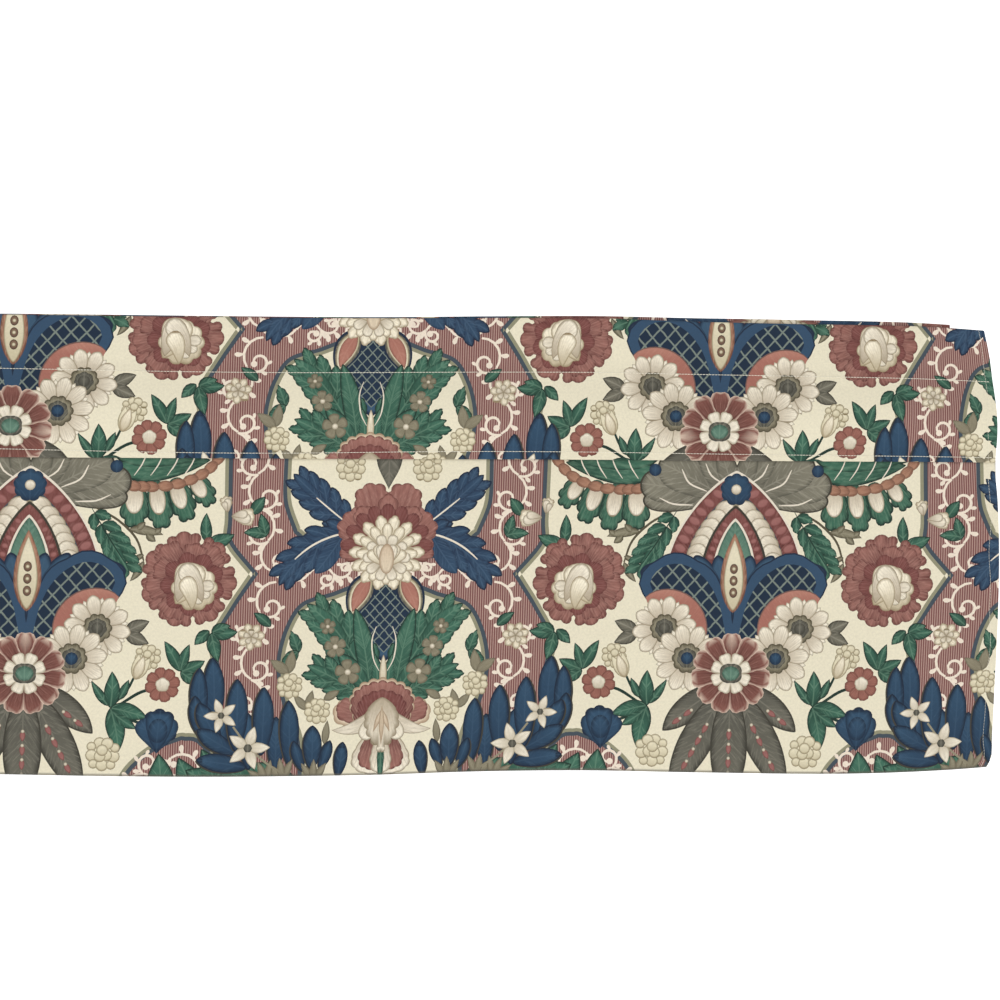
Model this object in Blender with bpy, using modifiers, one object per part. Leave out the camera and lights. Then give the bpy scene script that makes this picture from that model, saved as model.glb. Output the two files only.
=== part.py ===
"""Window valance: one length of printed cotton, wrapped on itself and sewn flat, then folded in half.

The cloth starts under the band, comes down the front as the skirt, turns up at the bottom,
runs up the back, turns over at the top and comes down the front again as the band, whose
raw end is turned under. Two rows of stitching across the band make a header and a rod
pocket. The finished strip is folded once across its width, with its back inside, and hangs
from its top edge.

Units are metres and +Z is up. The front faces -Y. The origin is the middle of the top edge.
"""

import math
from collections import namedtuple

import bmesh
import bpy
import numpy as np

# Driving sizes
FOLD_X = -0.5625  # the crosswise fold, at the left end
FRONT_END_X = 0.5625  # usual place of the front half's open end
REAR_END_X = 0.5170  # the rear half is the shorter one
HEIGHT = 0.4522  # top edge to bottom edge
HEADER = 0.0537  # top edge to the upper row of stitching
POCKET = 0.0794  # between the two rows of stitching
BAND = 0.1398  # top edge to the band's turned edge
BAND_TILT = 0.0027  # how much that edge rises along X, metre by metre
TURN_UNDER = 0.0118  # what is turned under there, up to its raw end
SKIRT_START = 0.1260  # drop of the skirt's raw end, which the lower stitching catches
CLOTH = 0.0010  # thickness of the cloth
PITCH = 0.00145  # from one layer's middle to the next
BACK_DEPTH = 0.00085  # from the fold's middle plane to the back layer's middle
HEADER_DEPTH = 0.00290  # the same to the header's front
POCKET_SWELL = 0.0056  # how far the empty pocket stands open at mid height
STITCH_GAP = 0.0060  # how far past its stitching the cloth begins to open
SWELL_POWER = 1.5  # 1 is a sine, and more is softer at the stitching

# Unevenness of the outline. Each row: distance along X or down from the top, and how far
# the edge is from where the sizes above put it.
TOP_EDGE = (  # (x, lift)
    (-0.5625, -0.0024),
    (-0.4475, -0.0019),
    (-0.2425, -0.0015),
    (-0.0425, 0.0000),
    (0.0575, 0.0017),
    (0.1575, 0.0025),
    (0.2575, 0.0005),
    (0.3575, -0.0004),
    (0.5075, -0.0018),
    (0.5625, -0.0050),
)
BOTTOM_EDGE = (  # (x, lift)
    (-0.5625, 0.0020),
    (-0.4475, 0.0015),
    (-0.3425, -0.0005),
    (-0.1625, -0.0020),
    (-0.0425, -0.0008),
    (0.0075, 0.0009),
    (0.1325, 0.0020),
    (0.2575, -0.0008),
    (0.4575, -0.0019),
    (0.5325, 0.0010),
    (0.5625, 0.0030),
)
REAR_PEEK = (  # (x, how far the rear half stands above the front one)
    (-0.5625, 0.0000),
    (-0.4475, 0.0010),
    (-0.0425, 0.0014),
    (0.1575, 0.0027),
    (0.3075, 0.0044),
    (0.5625, 0.0034),
)
FRONT_END = (  # (drop, how far past FRONT_END_X)
    (0.0000, -0.0110),
    (0.0240, -0.0058),
    (0.0580, -0.0014),
    (0.1160, 0.0021),
    (0.1360, 0.0012),
    (0.1750, 0.0046),
    (0.3180, 0.0055),
    (0.3600, 0.0036),
    (0.4200, 0.0009),
    (0.4460, -0.0011),
    (0.4522, -0.0045),
)
REAR_END = (  # (drop, how far past REAR_END_X)
    (0.0000, 0.0000),
    (0.1500, -0.0026),
    (0.3000, 0.0012),
    (0.4522, -0.0018),
)
TOP_FADE = 6.0  # powers of the share of the height at which each edge's unevenness fades
BOTTOM_FADE = 3.0

# The hanging cloth is nearly flat: it sways a little more the further down it goes.
SWAYS = (  # (depth at the bottom edge, length along X, phase in turns)
    (0.0016, 0.620, 0.10),
    (0.0011, 0.330, 0.55),
)
SWAY_POWER = 1.5
END_CURL = 0.0018  # how far the front's open end turns back at its bottom corner
CURL_REACH = 0.110

# How finely the cloth is divided
FRONT_STEPS = 17
REAR_STEPS = 16
END_STEPS = 6  # around the crosswise fold
TURN_STEPS = 4  # around the bottom, top and band edges
POCKET_STEPS = 9
SKIRT_DROPS = (HEADER + POCKET, BAND, 0.1950, 0.2500, 0.3100, 0.3700, 0.4200)
BACK_DROPS = (0.4200, 0.3700, 0.3100, 0.2500, 0.1950, BAND, 0.1100, 0.0800, 0.0537, 0.0270)
HEADER_DROP = 0.0270

COLLECTION = "window_valance"
NODE = "valance_cloth"
PRINT_COLOUR = (0.50, 0.41, 0.33, 1.0)
PRINT_ROUGHNESS = 0.8

# A place along the cloth's section: its drop from the top edge, its depth from the fold's
# middle plane, and how far it rises along X, metre by metre.
Station = namedtuple("Station", "drop depth tilt", defaults=(0.0,))


def read_along(table, place):
    """A table's second column at a place in its first."""
    places, values = zip(*table)
    return float(np.interp(place, places, values))


def band_depth(drop):
    """Depth of the band's middle: close to the back at the header, open in the pocket."""
    swell_start = HEADER - STITCH_GAP
    swell_end = HEADER + POCKET + STITCH_GAP / 2.0
    share = float(np.clip((drop - swell_start) / (swell_end - swell_start), 0.0, 1.0))
    stepped_out = BACK_DEPTH + 3.0 * PITCH - HEADER_DEPTH
    swell = (POCKET_SWELL - stepped_out / 2.0) * math.sin(math.pi * share) ** SWELL_POWER
    return HEADER_DEPTH + stepped_out * share + swell


def turn(drop, from_depth, to_depth, downward, tilt=0.0):
    """The stations around an edge at this drop, from one layer to the next."""
    radius = abs(from_depth - to_depth) / 2.0
    middle = (from_depth + to_depth) / 2.0
    outward = radius if downward else -radius
    stations = []
    for step in range(TURN_STEPS + 1):
        angle = math.pi * step / TURN_STEPS
        depth = middle + (from_depth - middle) * math.cos(angle)
        stations.append(Station(drop - outward * (1.0 - math.sin(angle)), depth, tilt))
    return stations


def section():
    """The cloth's stations from its first raw end to its last."""
    skirt = BACK_DEPTH + PITCH
    under = BACK_DEPTH + 2.0 * PITCH
    stations = [Station(drop, skirt) for drop in (SKIRT_START, *SKIRT_DROPS)]
    stations += turn(HEIGHT, skirt, BACK_DEPTH, downward=True)
    stations += [Station(drop, BACK_DEPTH) for drop in BACK_DROPS]
    stations += turn(0.0, BACK_DEPTH, HEADER_DEPTH, downward=False)
    stations.append(Station(HEADER_DROP, HEADER_DEPTH))
    for drop in np.linspace(HEADER - STITCH_GAP, HEADER + POCKET, POCKET_STEPS + 1):
        stations.append(Station(float(drop), band_depth(drop)))
    stations += turn(BAND, band_depth(BAND), under, downward=True, tilt=BAND_TILT)
    stations.append(Station(BAND - TURN_UNDER, under, BAND_TILT))
    return stations


def sway(x, drop):
    """How far back the whole cloth stands at a place, from its own slight unevenness."""
    share = np.clip(drop / HEIGHT, 0.0, 1.0) ** SWAY_POWER
    swing = sum(
        depth * math.sin(math.tau * (x / length + phase)) for depth, length, phase in SWAYS
    )
    near_end = np.clip(1.0 - (FRONT_END_X - x) / CURL_REACH, 0.0, 1.0)
    return float(share * (swing + END_CURL * near_end**2))


def placed(x, station, side, rear_share):
    """A point of the cloth. side runs from -1 on the front half to 1 on the rear one."""
    share = float(np.clip(station.drop / HEIGHT, 0.0, 1.0))
    lift = read_along(TOP_EDGE, x) * (1.0 - share) ** TOP_FADE
    lift += read_along(BOTTOM_EDGE, x) * share**BOTTOM_FADE
    lift += read_along(REAR_PEEK, x) * rear_share + station.tilt * x
    return (x, side * station.depth + sway(x, station.drop), lift - station.drop)


def across(station):
    """The points of one station from the front half's open end round to the rear half's."""
    front_end = FRONT_END_X + read_along(FRONT_END, station.drop)
    rear_end = REAR_END_X + read_along(REAR_END, station.drop)
    fronts = np.linspace(front_end, FOLD_X, FRONT_STEPS + 1)[:-1]
    angles = np.linspace(0.0, math.pi, END_STEPS + 1)
    rears = np.linspace(FOLD_X, rear_end, REAR_STEPS + 1)[1:]
    points = [placed(float(x), station, -1.0, 0.0) for x in fronts]
    for angle in angles:
        x = FOLD_X - station.depth * math.sin(angle)
        points.append(placed(x, station, -math.cos(angle), angle / math.pi))
    points += [placed(float(x), station, 1.0, 1.0) for x in rears]
    return points


def cloth_mesh():
    """The middle surface of the cloth: a grid, each of whose points is put in its place."""
    rows = [across(station) for station in section()]
    columns = len(rows[0])
    shape = bmesh.new()
    bmesh.ops.create_grid(shape, x_segments=columns - 1, y_segments=len(rows) - 1, size=0.5)
    shape.verts.ensure_lookup_table()
    for vertex in shape.verts:
        column = round((vertex.co.x + 0.5) * (columns - 1))
        row = round((vertex.co.y + 0.5) * (len(rows) - 1))
        vertex.co = rows[row][column]
    mesh = bpy.data.meshes.new(NODE)
    shape.to_mesh(mesh)
    shape.free()
    return mesh


def print_material():
    material = bpy.data.materials.new("printed_cotton")
    material.use_nodes = True
    shader = material.node_tree.nodes["Principled BSDF"]
    shader.inputs["Base Color"].default_value = PRINT_COLOUR
    shader.inputs["Roughness"].default_value = PRINT_ROUGHNESS
    shader.inputs["Metallic"].default_value = 0.0
    return material


def build():
    for old in list(bpy.data.objects):
        bpy.data.objects.remove(old)
    valance = bpy.data.collections.new(COLLECTION)
    bpy.context.scene.collection.children.link(valance)
    cloth = bpy.data.objects.new(NODE, cloth_mesh())
    cloth.data.materials.append(print_material())
    valance.objects.link(cloth)
    body = cloth.modifiers.new("cloth", "SOLIDIFY")
    body.thickness = CLOTH
    body.offset = 0.0
    body.use_even_offset = True
    body.use_rim = True


build()
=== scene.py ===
"""The window valance dressed: printed cotton and its sewing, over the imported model.

The cloth is one flat strip, printed on its right side, that is wrapped and folded in the way
the CAD cloth is. Its print is drawn first, as flat shapes on one half of its repeat. The half
repeat is cut into triangles along the shapes that show, copied and mirrored along the strip,
and each point of the strip is then put in its place in space.

A place on the print is (u, v): to the right of a mirror axis and down the cloth. Lengths of
the print are millimetres, and angles are degrees clockwise from straight up. All other
lengths are metres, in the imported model's frame: +Z up and the front towards -Y.
"""

import math
from collections import defaultdict, namedtuple

import bpy
import numpy as np
from mathutils import Matrix, Vector
from mathutils.bvhtree import BVHTree
from mathutils.geometry import delaunay_2d_cdt


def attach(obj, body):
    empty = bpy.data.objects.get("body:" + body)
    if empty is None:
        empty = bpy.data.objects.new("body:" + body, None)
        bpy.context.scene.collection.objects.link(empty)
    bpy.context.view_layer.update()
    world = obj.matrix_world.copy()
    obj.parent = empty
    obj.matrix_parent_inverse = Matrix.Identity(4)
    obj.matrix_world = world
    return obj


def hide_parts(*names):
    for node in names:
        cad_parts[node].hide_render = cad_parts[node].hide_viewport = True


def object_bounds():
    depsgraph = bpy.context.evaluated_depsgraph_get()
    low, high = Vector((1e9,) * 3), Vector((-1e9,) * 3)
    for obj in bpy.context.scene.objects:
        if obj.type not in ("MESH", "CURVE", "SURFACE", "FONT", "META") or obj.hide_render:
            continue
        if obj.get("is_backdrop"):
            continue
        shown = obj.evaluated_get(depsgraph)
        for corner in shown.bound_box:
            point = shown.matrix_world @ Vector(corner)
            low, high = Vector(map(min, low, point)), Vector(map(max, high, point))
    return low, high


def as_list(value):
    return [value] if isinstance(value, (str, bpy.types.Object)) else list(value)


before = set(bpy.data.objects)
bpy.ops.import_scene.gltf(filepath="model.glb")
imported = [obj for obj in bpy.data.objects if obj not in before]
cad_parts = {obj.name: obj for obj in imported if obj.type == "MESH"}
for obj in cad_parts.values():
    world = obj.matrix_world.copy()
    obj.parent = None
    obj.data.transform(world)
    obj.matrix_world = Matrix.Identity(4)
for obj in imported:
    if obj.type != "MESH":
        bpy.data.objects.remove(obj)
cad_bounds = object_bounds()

CLOTH_NODE = "valance_cloth"
MM = 0.001
NOTHING = 1e-6  # lengths and sizes below this count as none

# ------------ The valance's own sizes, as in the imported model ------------
FOLD_X = -0.5625  # the crosswise fold, at the left end
FRONT_END_X = 0.5625  # usual place of the front half's open end
REAR_END_X = 0.5170
HEIGHT = 0.4522  # top edge to bottom edge
HEADER = 0.0537  # top edge to the upper row of stitching
POCKET = 0.0794  # between the two rows of stitching
BAND = 0.1398  # top edge to the band's turned edge
BAND_TILT = 0.0027  # how much that edge rises along X, metre by metre
TURN_UNDER = 0.0118  # what is turned under there, up to its raw end
SKIRT_START = 0.1260  # drop of the skirt's raw end
PITCH = 0.00145  # from one layer's middle to the next
BACK_DEPTH = 0.00085  # from the fold's middle plane to the back layer's middle
HEADER_DEPTH = 0.00290
POCKET_SWELL = 0.0056
STITCH_GAP = 0.0060
SWELL_POWER = 1.5
TOP_FADE = 6.0
BOTTOM_FADE = 3.0
SWAYS = ((0.0016, 0.620, 0.10), (0.0011, 0.330, 0.55))  # depth, length along X, phase in turns
SWAY_POWER = 1.5
END_CURL = 0.0018
CURL_REACH = 0.110

# Unevenness of the outline. Each row: distance along X or down from the top, and how far
# the edge is from where the sizes above put it.
TOP_EDGE = (
    (-0.5625, -0.0024), (-0.4475, -0.0019), (-0.2425, -0.0015), (-0.0425, 0.0000),
    (0.0575, 0.0017), (0.1575, 0.0025), (0.2575, 0.0005), (0.3575, -0.0004),
    (0.5075, -0.0018), (0.5625, -0.0050),
)
BOTTOM_EDGE = (
    (-0.5625, 0.0020), (-0.4475, 0.0015), (-0.3425, -0.0005), (-0.1625, -0.0020),
    (-0.0425, -0.0008), (0.0075, 0.0009), (0.1325, 0.0020), (0.2575, -0.0008),
    (0.4575, -0.0019), (0.5325, 0.0010), (0.5625, 0.0030),
)
REAR_PEEK = (
    (-0.5625, 0.0000), (-0.4475, 0.0010), (-0.0425, 0.0014), (0.1575, 0.0027),
    (0.3075, 0.0044), (0.5625, 0.0034),
)
FRONT_END = (
    (0.0000, -0.0110), (0.0240, -0.0058), (0.0580, -0.0014), (0.1160, 0.0021),
    (0.1360, 0.0012), (0.1750, 0.0046), (0.3180, 0.0055), (0.3600, 0.0036),
    (0.4200, 0.0009), (0.4460, -0.0011), (0.4522, -0.0045),
)
REAR_END = ((0.0000, 0.0000), (0.1500, -0.0026), (0.3000, 0.0012), (0.4522, -0.0018))

# ------------ The cloth as a flat strip ------------
CLOTH = 0.00026  # thickness of the real cotton
FOLD_RUN = 0.0100  # cloth taken up by the crosswise fold
FOLD_MIDDLE = FOLD_X - FOLD_RUN / 2.0  # where its two meshes meet
MIRROR = 2.0 * FOLD_X - FOLD_RUN  # less a place on one half: the place behind it on the other
HEM = 0.0100  # side hem, turned to the wrong side at both ends
HEM_RADIUS = 0.00028
HALF_TURN = math.pi * HEM_RADIUS
END_REACH = 0.150  # how far from an end the cloth is drawn in or out with it
ROW_DROPS = (0.1600, 0.1950, 0.2300, 0.2700, 0.3100, 0.3500, 0.3900, 0.4250)
BACK_DROP = 0.0950  # one more row, on the back alone
HEADER_DROPS = (0.0160, 0.0320)
TURN_STEPS = 4
POCKET_STEPS = 10
FOLD_STEPS = 6
HEM_STEPS = 3
COLUMN_PITCH = 0.050  # of the plain wrong side

# ------------ The print's place on the strip ------------
HALF = 350.0  # half of the print's repeat: from one mirror axis to the next
ROWS = (120.0, 453.0)  # the rows of the print that are drawn, and that the strip turns back at
AXIS_X = -0.0558  # the first mirror axis, on the skirt at row AXIS_ROW
AXIS_ROW = 257.0
SKEW = -0.025  # how far the print leans on the cloth, for each millimetre down
BAND_SHIFT = -0.0140  # how far the print on the band is from that on the skirt
BAND_ROW = 242.0  # the print's row at the top edge
COLUMNS = 6  # of the strip's own grid to half a repeat
TOUCH = 0.004  # points of the print nearer than this are one point

INKS = {}
Ink = namedtuple("Ink", "base tip edge reach line hatch vein stripe lattice")


def ink(name, base, tip=None, edge=None, reach=0.0, line=None, rim=None, **styles):
    """Adds a printing colour: at the foot and tip of a shape, at its edge and for its lines.

    The edge's colour reaches this far in. A rim is one more colour, for the dark edge round
    a leaf. The styles are how strongly each pattern of lines is drawn.
    """
    amounts = [styles.get(style, 0.0) for style in ("hatch", "vein", "stripe", "lattice")]
    INKS[name] = Ink(base, tip or base, edge or base, reach, line or base, *amounts)
    if rim:
        ink(name + "_rim", rim)


ink("ground", (224, 216, 191))
ink("stripes", (119, 75, 71), (113, 70, 67), line=(187, 162, 150), stripe=0.76)
ink("slate", (66, 76, 84))
ink("olive", (140, 137, 112))
ink("scroll", (228, 214, 196))
ink("burgundy", (64, 30, 30), (150, 102, 92), (88, 47, 43), 2.0, (180, 137, 124), hatch=0.5)
ink("rose", (60, 30, 28), (124, 78, 69), (208, 186, 167), 1.4, (156, 110, 97), hatch=0.5)
ink("wine", (88, 46, 44), (118, 70, 65), (92, 50, 47), 2.4, (156, 108, 100), hatch=0.5)
ink("wine_spot", (142, 92, 88), (152, 104, 98), (112, 64, 60), 1.6)
ink("cream", (188, 174, 145), (250, 241, 219), (136, 119, 90), 2.4, (176, 161, 130), hatch=0.5)
ink("pearl", (174, 159, 136), (242, 233, 213), (130, 117, 92), 1.8, (166, 152, 130), hatch=0.5)
ink("blush", (222, 208, 182), (204, 182, 156), (146, 122, 96), 2.6, (174, 150, 126), hatch=0.4)
ink("white", (188, 176, 153), (245, 237, 219), (148, 137, 112), 1.6, (180, 169, 146), hatch=0.45)
ink("navy", (36, 54, 78), (50, 75, 99), (34, 50, 72), 3.2, (80, 104, 126), (30, 41, 58), vein=0.5)
ink("indigo", (33, 55, 78), (49, 77, 101), (27, 42, 60), 4.0, (72, 98, 120), (26, 38, 54), vein=0.3)
ink("marine", (44, 66, 90), (56, 82, 104), (36, 54, 74), 3.0, (80, 104, 124), (30, 42, 60), vein=0.18)
ink("marine_fill", (50, 74, 98))
ink("trellis", (27, 42, 60), (31, 48, 68), line=(126, 136, 126), lattice=0.85)
ink("green", (38, 68, 55), (66, 110, 91), (36, 66, 54), 3.0, (110, 146, 122), (32, 52, 44), vein=0.6)
ink("moss", (38, 68, 55), (62, 104, 84), (30, 56, 45), 3.0, (108, 142, 118), (30, 50, 42), hatch=0.5)
ink("jade", (98, 130, 112), (78, 110, 94), (52, 82, 68), 3.2, (126, 154, 136), vein=0.45)
ink("taupe", (88, 85, 74), (126, 122, 106), (84, 81, 70), 4.0, (158, 153, 136), (60, 56, 47), vein=0.6)
ink("ash", (76, 75, 67), (106, 103, 91), (64, 62, 54), 4.6, (140, 136, 121), (62, 59, 51), vein=0.5)
ink("stone", (118, 111, 91), (136, 129, 107), (84, 77, 60), 2.2, (164, 156, 133), hatch=0.4)
ink("stone_leaf", (116, 110, 90), (134, 128, 106), (92, 86, 68), 2.0, (162, 155, 132), (84, 77, 60),
    vein=0.5)
ink("salmon", (158, 103, 90), (172, 120, 104), (130, 84, 72), 2.5, (192, 146, 128), (112, 84, 76), vein=0.3)
ink("rope", (122, 80, 63), (172, 128, 103), (100, 64, 50), 2.8, (192, 154, 128), hatch=0.5)
ink("russet", (108, 60, 52), (148, 97, 85), (92, 50, 43), 2.4, (178, 130, 114), hatch=0.5)
ink("berry", (192, 181, 150), (228, 219, 192), (128, 115, 85), 1.7)
ink("bead", (106, 82, 68), (126, 100, 82), (74, 54, 44), 1.6)
ink("rib", (220, 210, 192))

# ------------ Drawing ------------
Shape = namedtuple("Shape", "outline core ink base turn length bend")

FORMS = {  # the width of each kind of blade at a share of its length
    "leaf": lambda t: np.sin(np.pi * t**0.8) ** 0.85,
    "flame": lambda t: 1.18 * t**0.5 * (1.0 - t**2.8) ** 0.8,
    "lancet": lambda t: np.sin(np.pi * t**0.85) ** 1.15,
    "petal": lambda t: 1.25 * t**0.7 * (1.0 - t**5) ** 0.5,
    "lobe": lambda t: 1.05 * t**0.35 * (1.0 - t**4) ** 0.6,
    "oval": lambda t: 2.0 * np.sqrt(np.clip(t * (1.0 - t), 0.0, 1.0)),
    "drop": lambda t: 1.7 * t**0.5 * (1.0 - t) ** 0.75,
    "spoon": lambda t: 1.42 * t**0.75 * (1.0 - t**3.6) ** 0.72,
    "paddle": lambda t: 3.2 * t**0.9 * (1.0 - t) ** 0.8,
    "arch": lambda t: (1.0 - t**1.7) ** 0.8,
}
STEP = 2.8  # between the points of an outline
CORE_STEP = 4.5
CURVE_STEP = 4.0
STRAIGHT = 0.5  # a bend below this is none
TOOTH_POINTS = 5


def sized(count, low, high):
    return int(min(max(count, low), high))


def moved(point, turn, far):
    """The place this far from a point in this direction."""
    way = np.array((math.sin(math.radians(turn)), -math.cos(math.radians(turn))))
    return tuple(np.array(point) + far * way)


def arc(base, turn, length, bend, shares):
    """Points at shares of an arc's length, and the directions to its right there."""
    first = math.radians(turn)
    headings = np.radians(turn + bend * shares)
    right = np.column_stack((np.cos(headings), np.sin(headings)))
    if abs(bend) < STRAIGHT:
        ahead = np.column_stack((math.sin(first) * shares, -math.cos(first) * shares))
        return np.array(base) + length * ahead, right
    radius = length / math.radians(bend)
    u = base[0] + radius * (math.cos(first) - np.cos(headings))
    v = base[1] + radius * (math.sin(first) - np.sin(headings))
    return np.column_stack((u, v)), right


def on_arc(base, turn, length, bend, share):
    """One point of an arc."""
    return tuple(arc(base, turn, length, bend, np.array([share]))[0][0])


def local(shape, points):
    """How far along a shape's arc each point is, and how far to its right."""
    first = math.radians(shape.turn)
    from_base = points - np.array(shape.base)
    if abs(shape.bend) < STRAIGHT:
        along = from_base @ np.array((math.sin(first), -math.cos(first)))
        return along, from_base @ np.array((math.cos(first), math.sin(first)))
    radius = shape.length / math.radians(shape.bend)
    centre = np.array((math.cos(first), math.sin(first))) * radius
    spoke = (centre - from_base) * np.sign(radius)
    swept = np.arctan2(spoke[:, 1], spoke[:, 0]) - first
    swept = (swept + np.pi) % math.tau - np.pi
    return swept * radius, radius - np.sign(radius) * np.hypot(spoke[:, 0], spoke[:, 1])


def ring(base, turn, length, width, bend, form, step):
    """The outline of a blade around an arc."""
    count = sized(length / step, 6, 26)
    shares = (1.0 - np.cos(np.linspace(0.0, np.pi, count + 1))) / 2.0
    middle, right = arc(base, turn, length, bend, shares)
    half = (width / 2.0 * FORMS[form](shares))[:, None]
    back = (middle - right * half)[::-1]
    back = back[1:] if form == "arch" else back[1:-1]
    return np.vstack((middle + right * half, back))


def signed_area(points):
    u, v = points.T
    return float(np.sum(u * np.roll(v, -1) - v * np.roll(u, -1)) / 2.0)


def along_line(points):
    """How far along a line each of its points is."""
    return np.concatenate(([0.0], np.cumsum(np.hypot(*np.diff(points, axis=0).T))))


def spread(outline, count):
    """The same closed outline with its points evenly spaced, and how far round each is."""
    closed = np.vstack((outline, outline[:1]))
    along = along_line(closed)
    shares = np.arange(count) / count
    places = shares * along[-1]
    u = np.interp(places, along, closed[:, 0])
    v = np.interp(places, along, closed[:, 1])
    return np.column_stack((u, v)), shares


def outward(points):
    """The direction out of a closed outline at each of its points."""
    ahead = np.roll(points, -1, axis=0) - np.roll(points, 1, axis=0)
    out = np.column_stack((ahead[:, 1], -ahead[:, 0])) * np.sign(signed_area(points))
    return out / np.maximum(np.hypot(*out.T), NOTHING)[:, None]


def scalloped(outline, base, length, teeth, depth):
    """The outline with rounded teeth, which fade out towards its foot."""
    points, shares = spread(outline, teeth * TOOTH_POINTS)
    cut = depth * (1.0 - np.abs(np.sin(np.pi * teeth * shares)) ** 0.8)
    far = np.hypot(*(points - np.array(base)).T) / length
    return points - outward(points) * (cut * np.clip(1.6 * far - 0.4, 0.0, 1.0))[:, None]


def smooth(points, step=CURVE_STEP):
    """A curve through points. A point that stands twice in the list is a corner."""
    points = np.array(points, float)
    runs, start = [], 0
    for index in range(1, len(points)):
        if index == len(points) - 1 or np.allclose(points[index], points[index + 1]):
            runs.append(points[start : index + 1])
            start = index + 1
    curve = []
    for run in runs:
        padded = np.vstack((2 * run[0] - run[1], run, 2 * run[-1] - run[-2]))
        for a, b, c, d in zip(padded, padded[1:], padded[2:], padded[3:]):
            count = sized(np.hypot(*(c - b)) / step, 1, 12)
            for t in np.arange(count) / count:
                bow = t * t * (a - 2.5 * b + 2 * c - 0.5 * d)
                curve.append(b + 0.5 * t * (c - a) + bow + t**3 * (1.5 * (b - c) + 0.5 * (d - a)))
        curve.append(run[-1])
    return np.array(curve)


class Drawing:
    """Shapes of the print, from the lowest to the topmost."""

    def __init__(self):
        self.shapes = []

    def add(self, outline, name, base=(0.0, 0.0), turn=0.0, length=10.0, bend=0.0, core=None):
        self.shapes.append(Shape(outline, core, name, base, turn, length, bend))

    def blade(self, base, turn, length, width, name, form="leaf", bend=0.0, teeth=0, depth=1.5):
        """A leaf, petal or other blade that sets out from base."""
        outline = ring(base, turn, length, width, bend, form, STEP)
        if teeth:
            outline = scalloped(outline, base, length, teeth, depth)
        reach = min(INKS[name].reach, 0.36 * width)
        core = None
        if reach > 0.0:
            inset = min(1.25 * reach, 0.3 * length)
            slimmer = width - 2.0 * reach - (2.0 * depth if teeth else 0.0)
            start = on_arc(base, turn, length, bend, inset / length)
            first = turn + bend * inset / length
            share = 1.0 - 2.0 * inset / length
            core_size = (length * share, max(slimmer, 0.2 * width), bend * share)
            core = ring(start, first, *core_size, form, CORE_STEP)
        self.add(outline, name, base, turn, length, bend, core)

    def blades(self, *rows, form="leaf"):
        """Blades from rows of u, v, turn, length, width, ink and, where there is one, bend."""
        for u, v, turn, length, width, name, *bend in rows:
            self.blade((u, v), turn, length, width, name, form, *bend)

    def disc(self, centre, radius, name, wide=1.0, turn=0.0, teeth=0, depth=1.5):
        base = moved(centre, turn, -radius)
        self.blade(base, turn, 2.0 * radius, 2.0 * radius * wide, name, "oval")
        if teeth:
            outline = scalloped(self.shapes[-1].outline, centre, radius * 0.5, teeth, depth)
            self.shapes[-1] = self.shapes[-1]._replace(outline=outline)

    def fan(self, centre, turns, length, width, name, form="petal", start=0.0, **more):
        """Blades from one centre at these turns, start millimetres out from it."""
        for turn in turns:
            self.blade(moved(centre, turn, start), turn, length - start, width, name, form, **more)

    def stroke(self, points, width, name, ends=1.0):
        """A line of this width through points, and this share of it at its ends."""
        points = smooth(points)
        ahead = np.gradient(points, axis=0)
        right = np.column_stack((-ahead[:, 1], ahead[:, 0]))
        right /= np.maximum(np.hypot(*right.T), NOTHING)[:, None]
        swell = np.sin(np.linspace(0.0, np.pi, len(points))) ** 0.5
        half = (width / 2.0 * (ends + (1.0 - ends) * swell))[:, None]
        outline = np.vstack((points + right * half, (points - right * half)[::-1]))
        self.add(outline, name, tuple(points[0]))

    def scroll(self, base, turn, length, bend, curl, width, name):
        """A line whose bend goes from its first to its second value, in degrees each mm."""
        count = sized(length / 3.0, 8, 30)
        headings = np.radians(turn + np.cumsum(np.linspace(bend, curl, count)) * length / count)
        steps = np.column_stack((np.sin(headings), -np.cos(headings))) * length / count
        points = np.vstack((base, np.array(base) + np.cumsum(steps, axis=0)))
        self.stroke(points, width, name, ends=0.6)
        self.disc(tuple(points[-1]), 1.15 * width, name)
        return points, np.degrees(headings)


art = Drawing()


# ------------ Motifs ------------
RIM = 1.3  # the dark edge round a leaf
BERRIES = ((0.64, 0.36), (0.78, 0.28))  # shares of a cluster's radius: how far out, and how large
INNER_BERRY = (0.22, 0.34)


def ring_turns(count, first=0.0):
    return [first + 360.0 * index / count for index in range(count)]


def leafage(rows, name, rim=RIM, teeth=0):
    """Blades (u, v, turn, length, width, bend, form) as one leaf with one dark edge round it."""
    blades = [(row[:2], *row[2:], "leaf")[:6] for row in rows]
    for base, turn, length, width, bend, form in blades:
        art.blade(base, turn, length, width, name + "_rim", form, bend, teeth, 1.2)
    for base, turn, length, width, bend, form in blades:
        start = on_arc(base, turn, length, bend, 1.2 * rim / length)
        share = 1.0 - 2.6 * rim / length
        slimmer = max(width - 2.0 * rim, 0.5 * width)
        first = turn + bend * 1.2 * rim / length
        art.blade(start, first, length * share, slimmer, name, form, bend * share)


def acanthus(base, turn, length, width, bend, lobes, name, teeth=0):
    """A leaf of overlapping lobes along a curved rib."""
    rows = [(*base, turn, length, 0.66 * width, bend)]
    for index in reversed(range(lobes)):
        share = (index + 0.35) / (lobes + 0.9)
        start = on_arc(base, turn, length, bend, share)
        reach = width / 2.0 * (0.78 + 0.46 * math.sin(math.pi * (share * 0.9 + 0.15)))
        for side in (1, -1):
            angle = turn + bend * share + side * (58.0 - 24.0 * share)
            rows.append((*start, angle, reach, 0.42 * reach + 5.0, -side * 30.0, "flame"))
    tip = on_arc(base, turn, length, bend, 0.45)
    size = (0.55 * length, 0.38 * width, 0.55 * bend)
    rows.append((*tip, turn + 0.45 * bend, *size, "flame"))
    leafage(rows, name, teeth=teeth)


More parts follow.
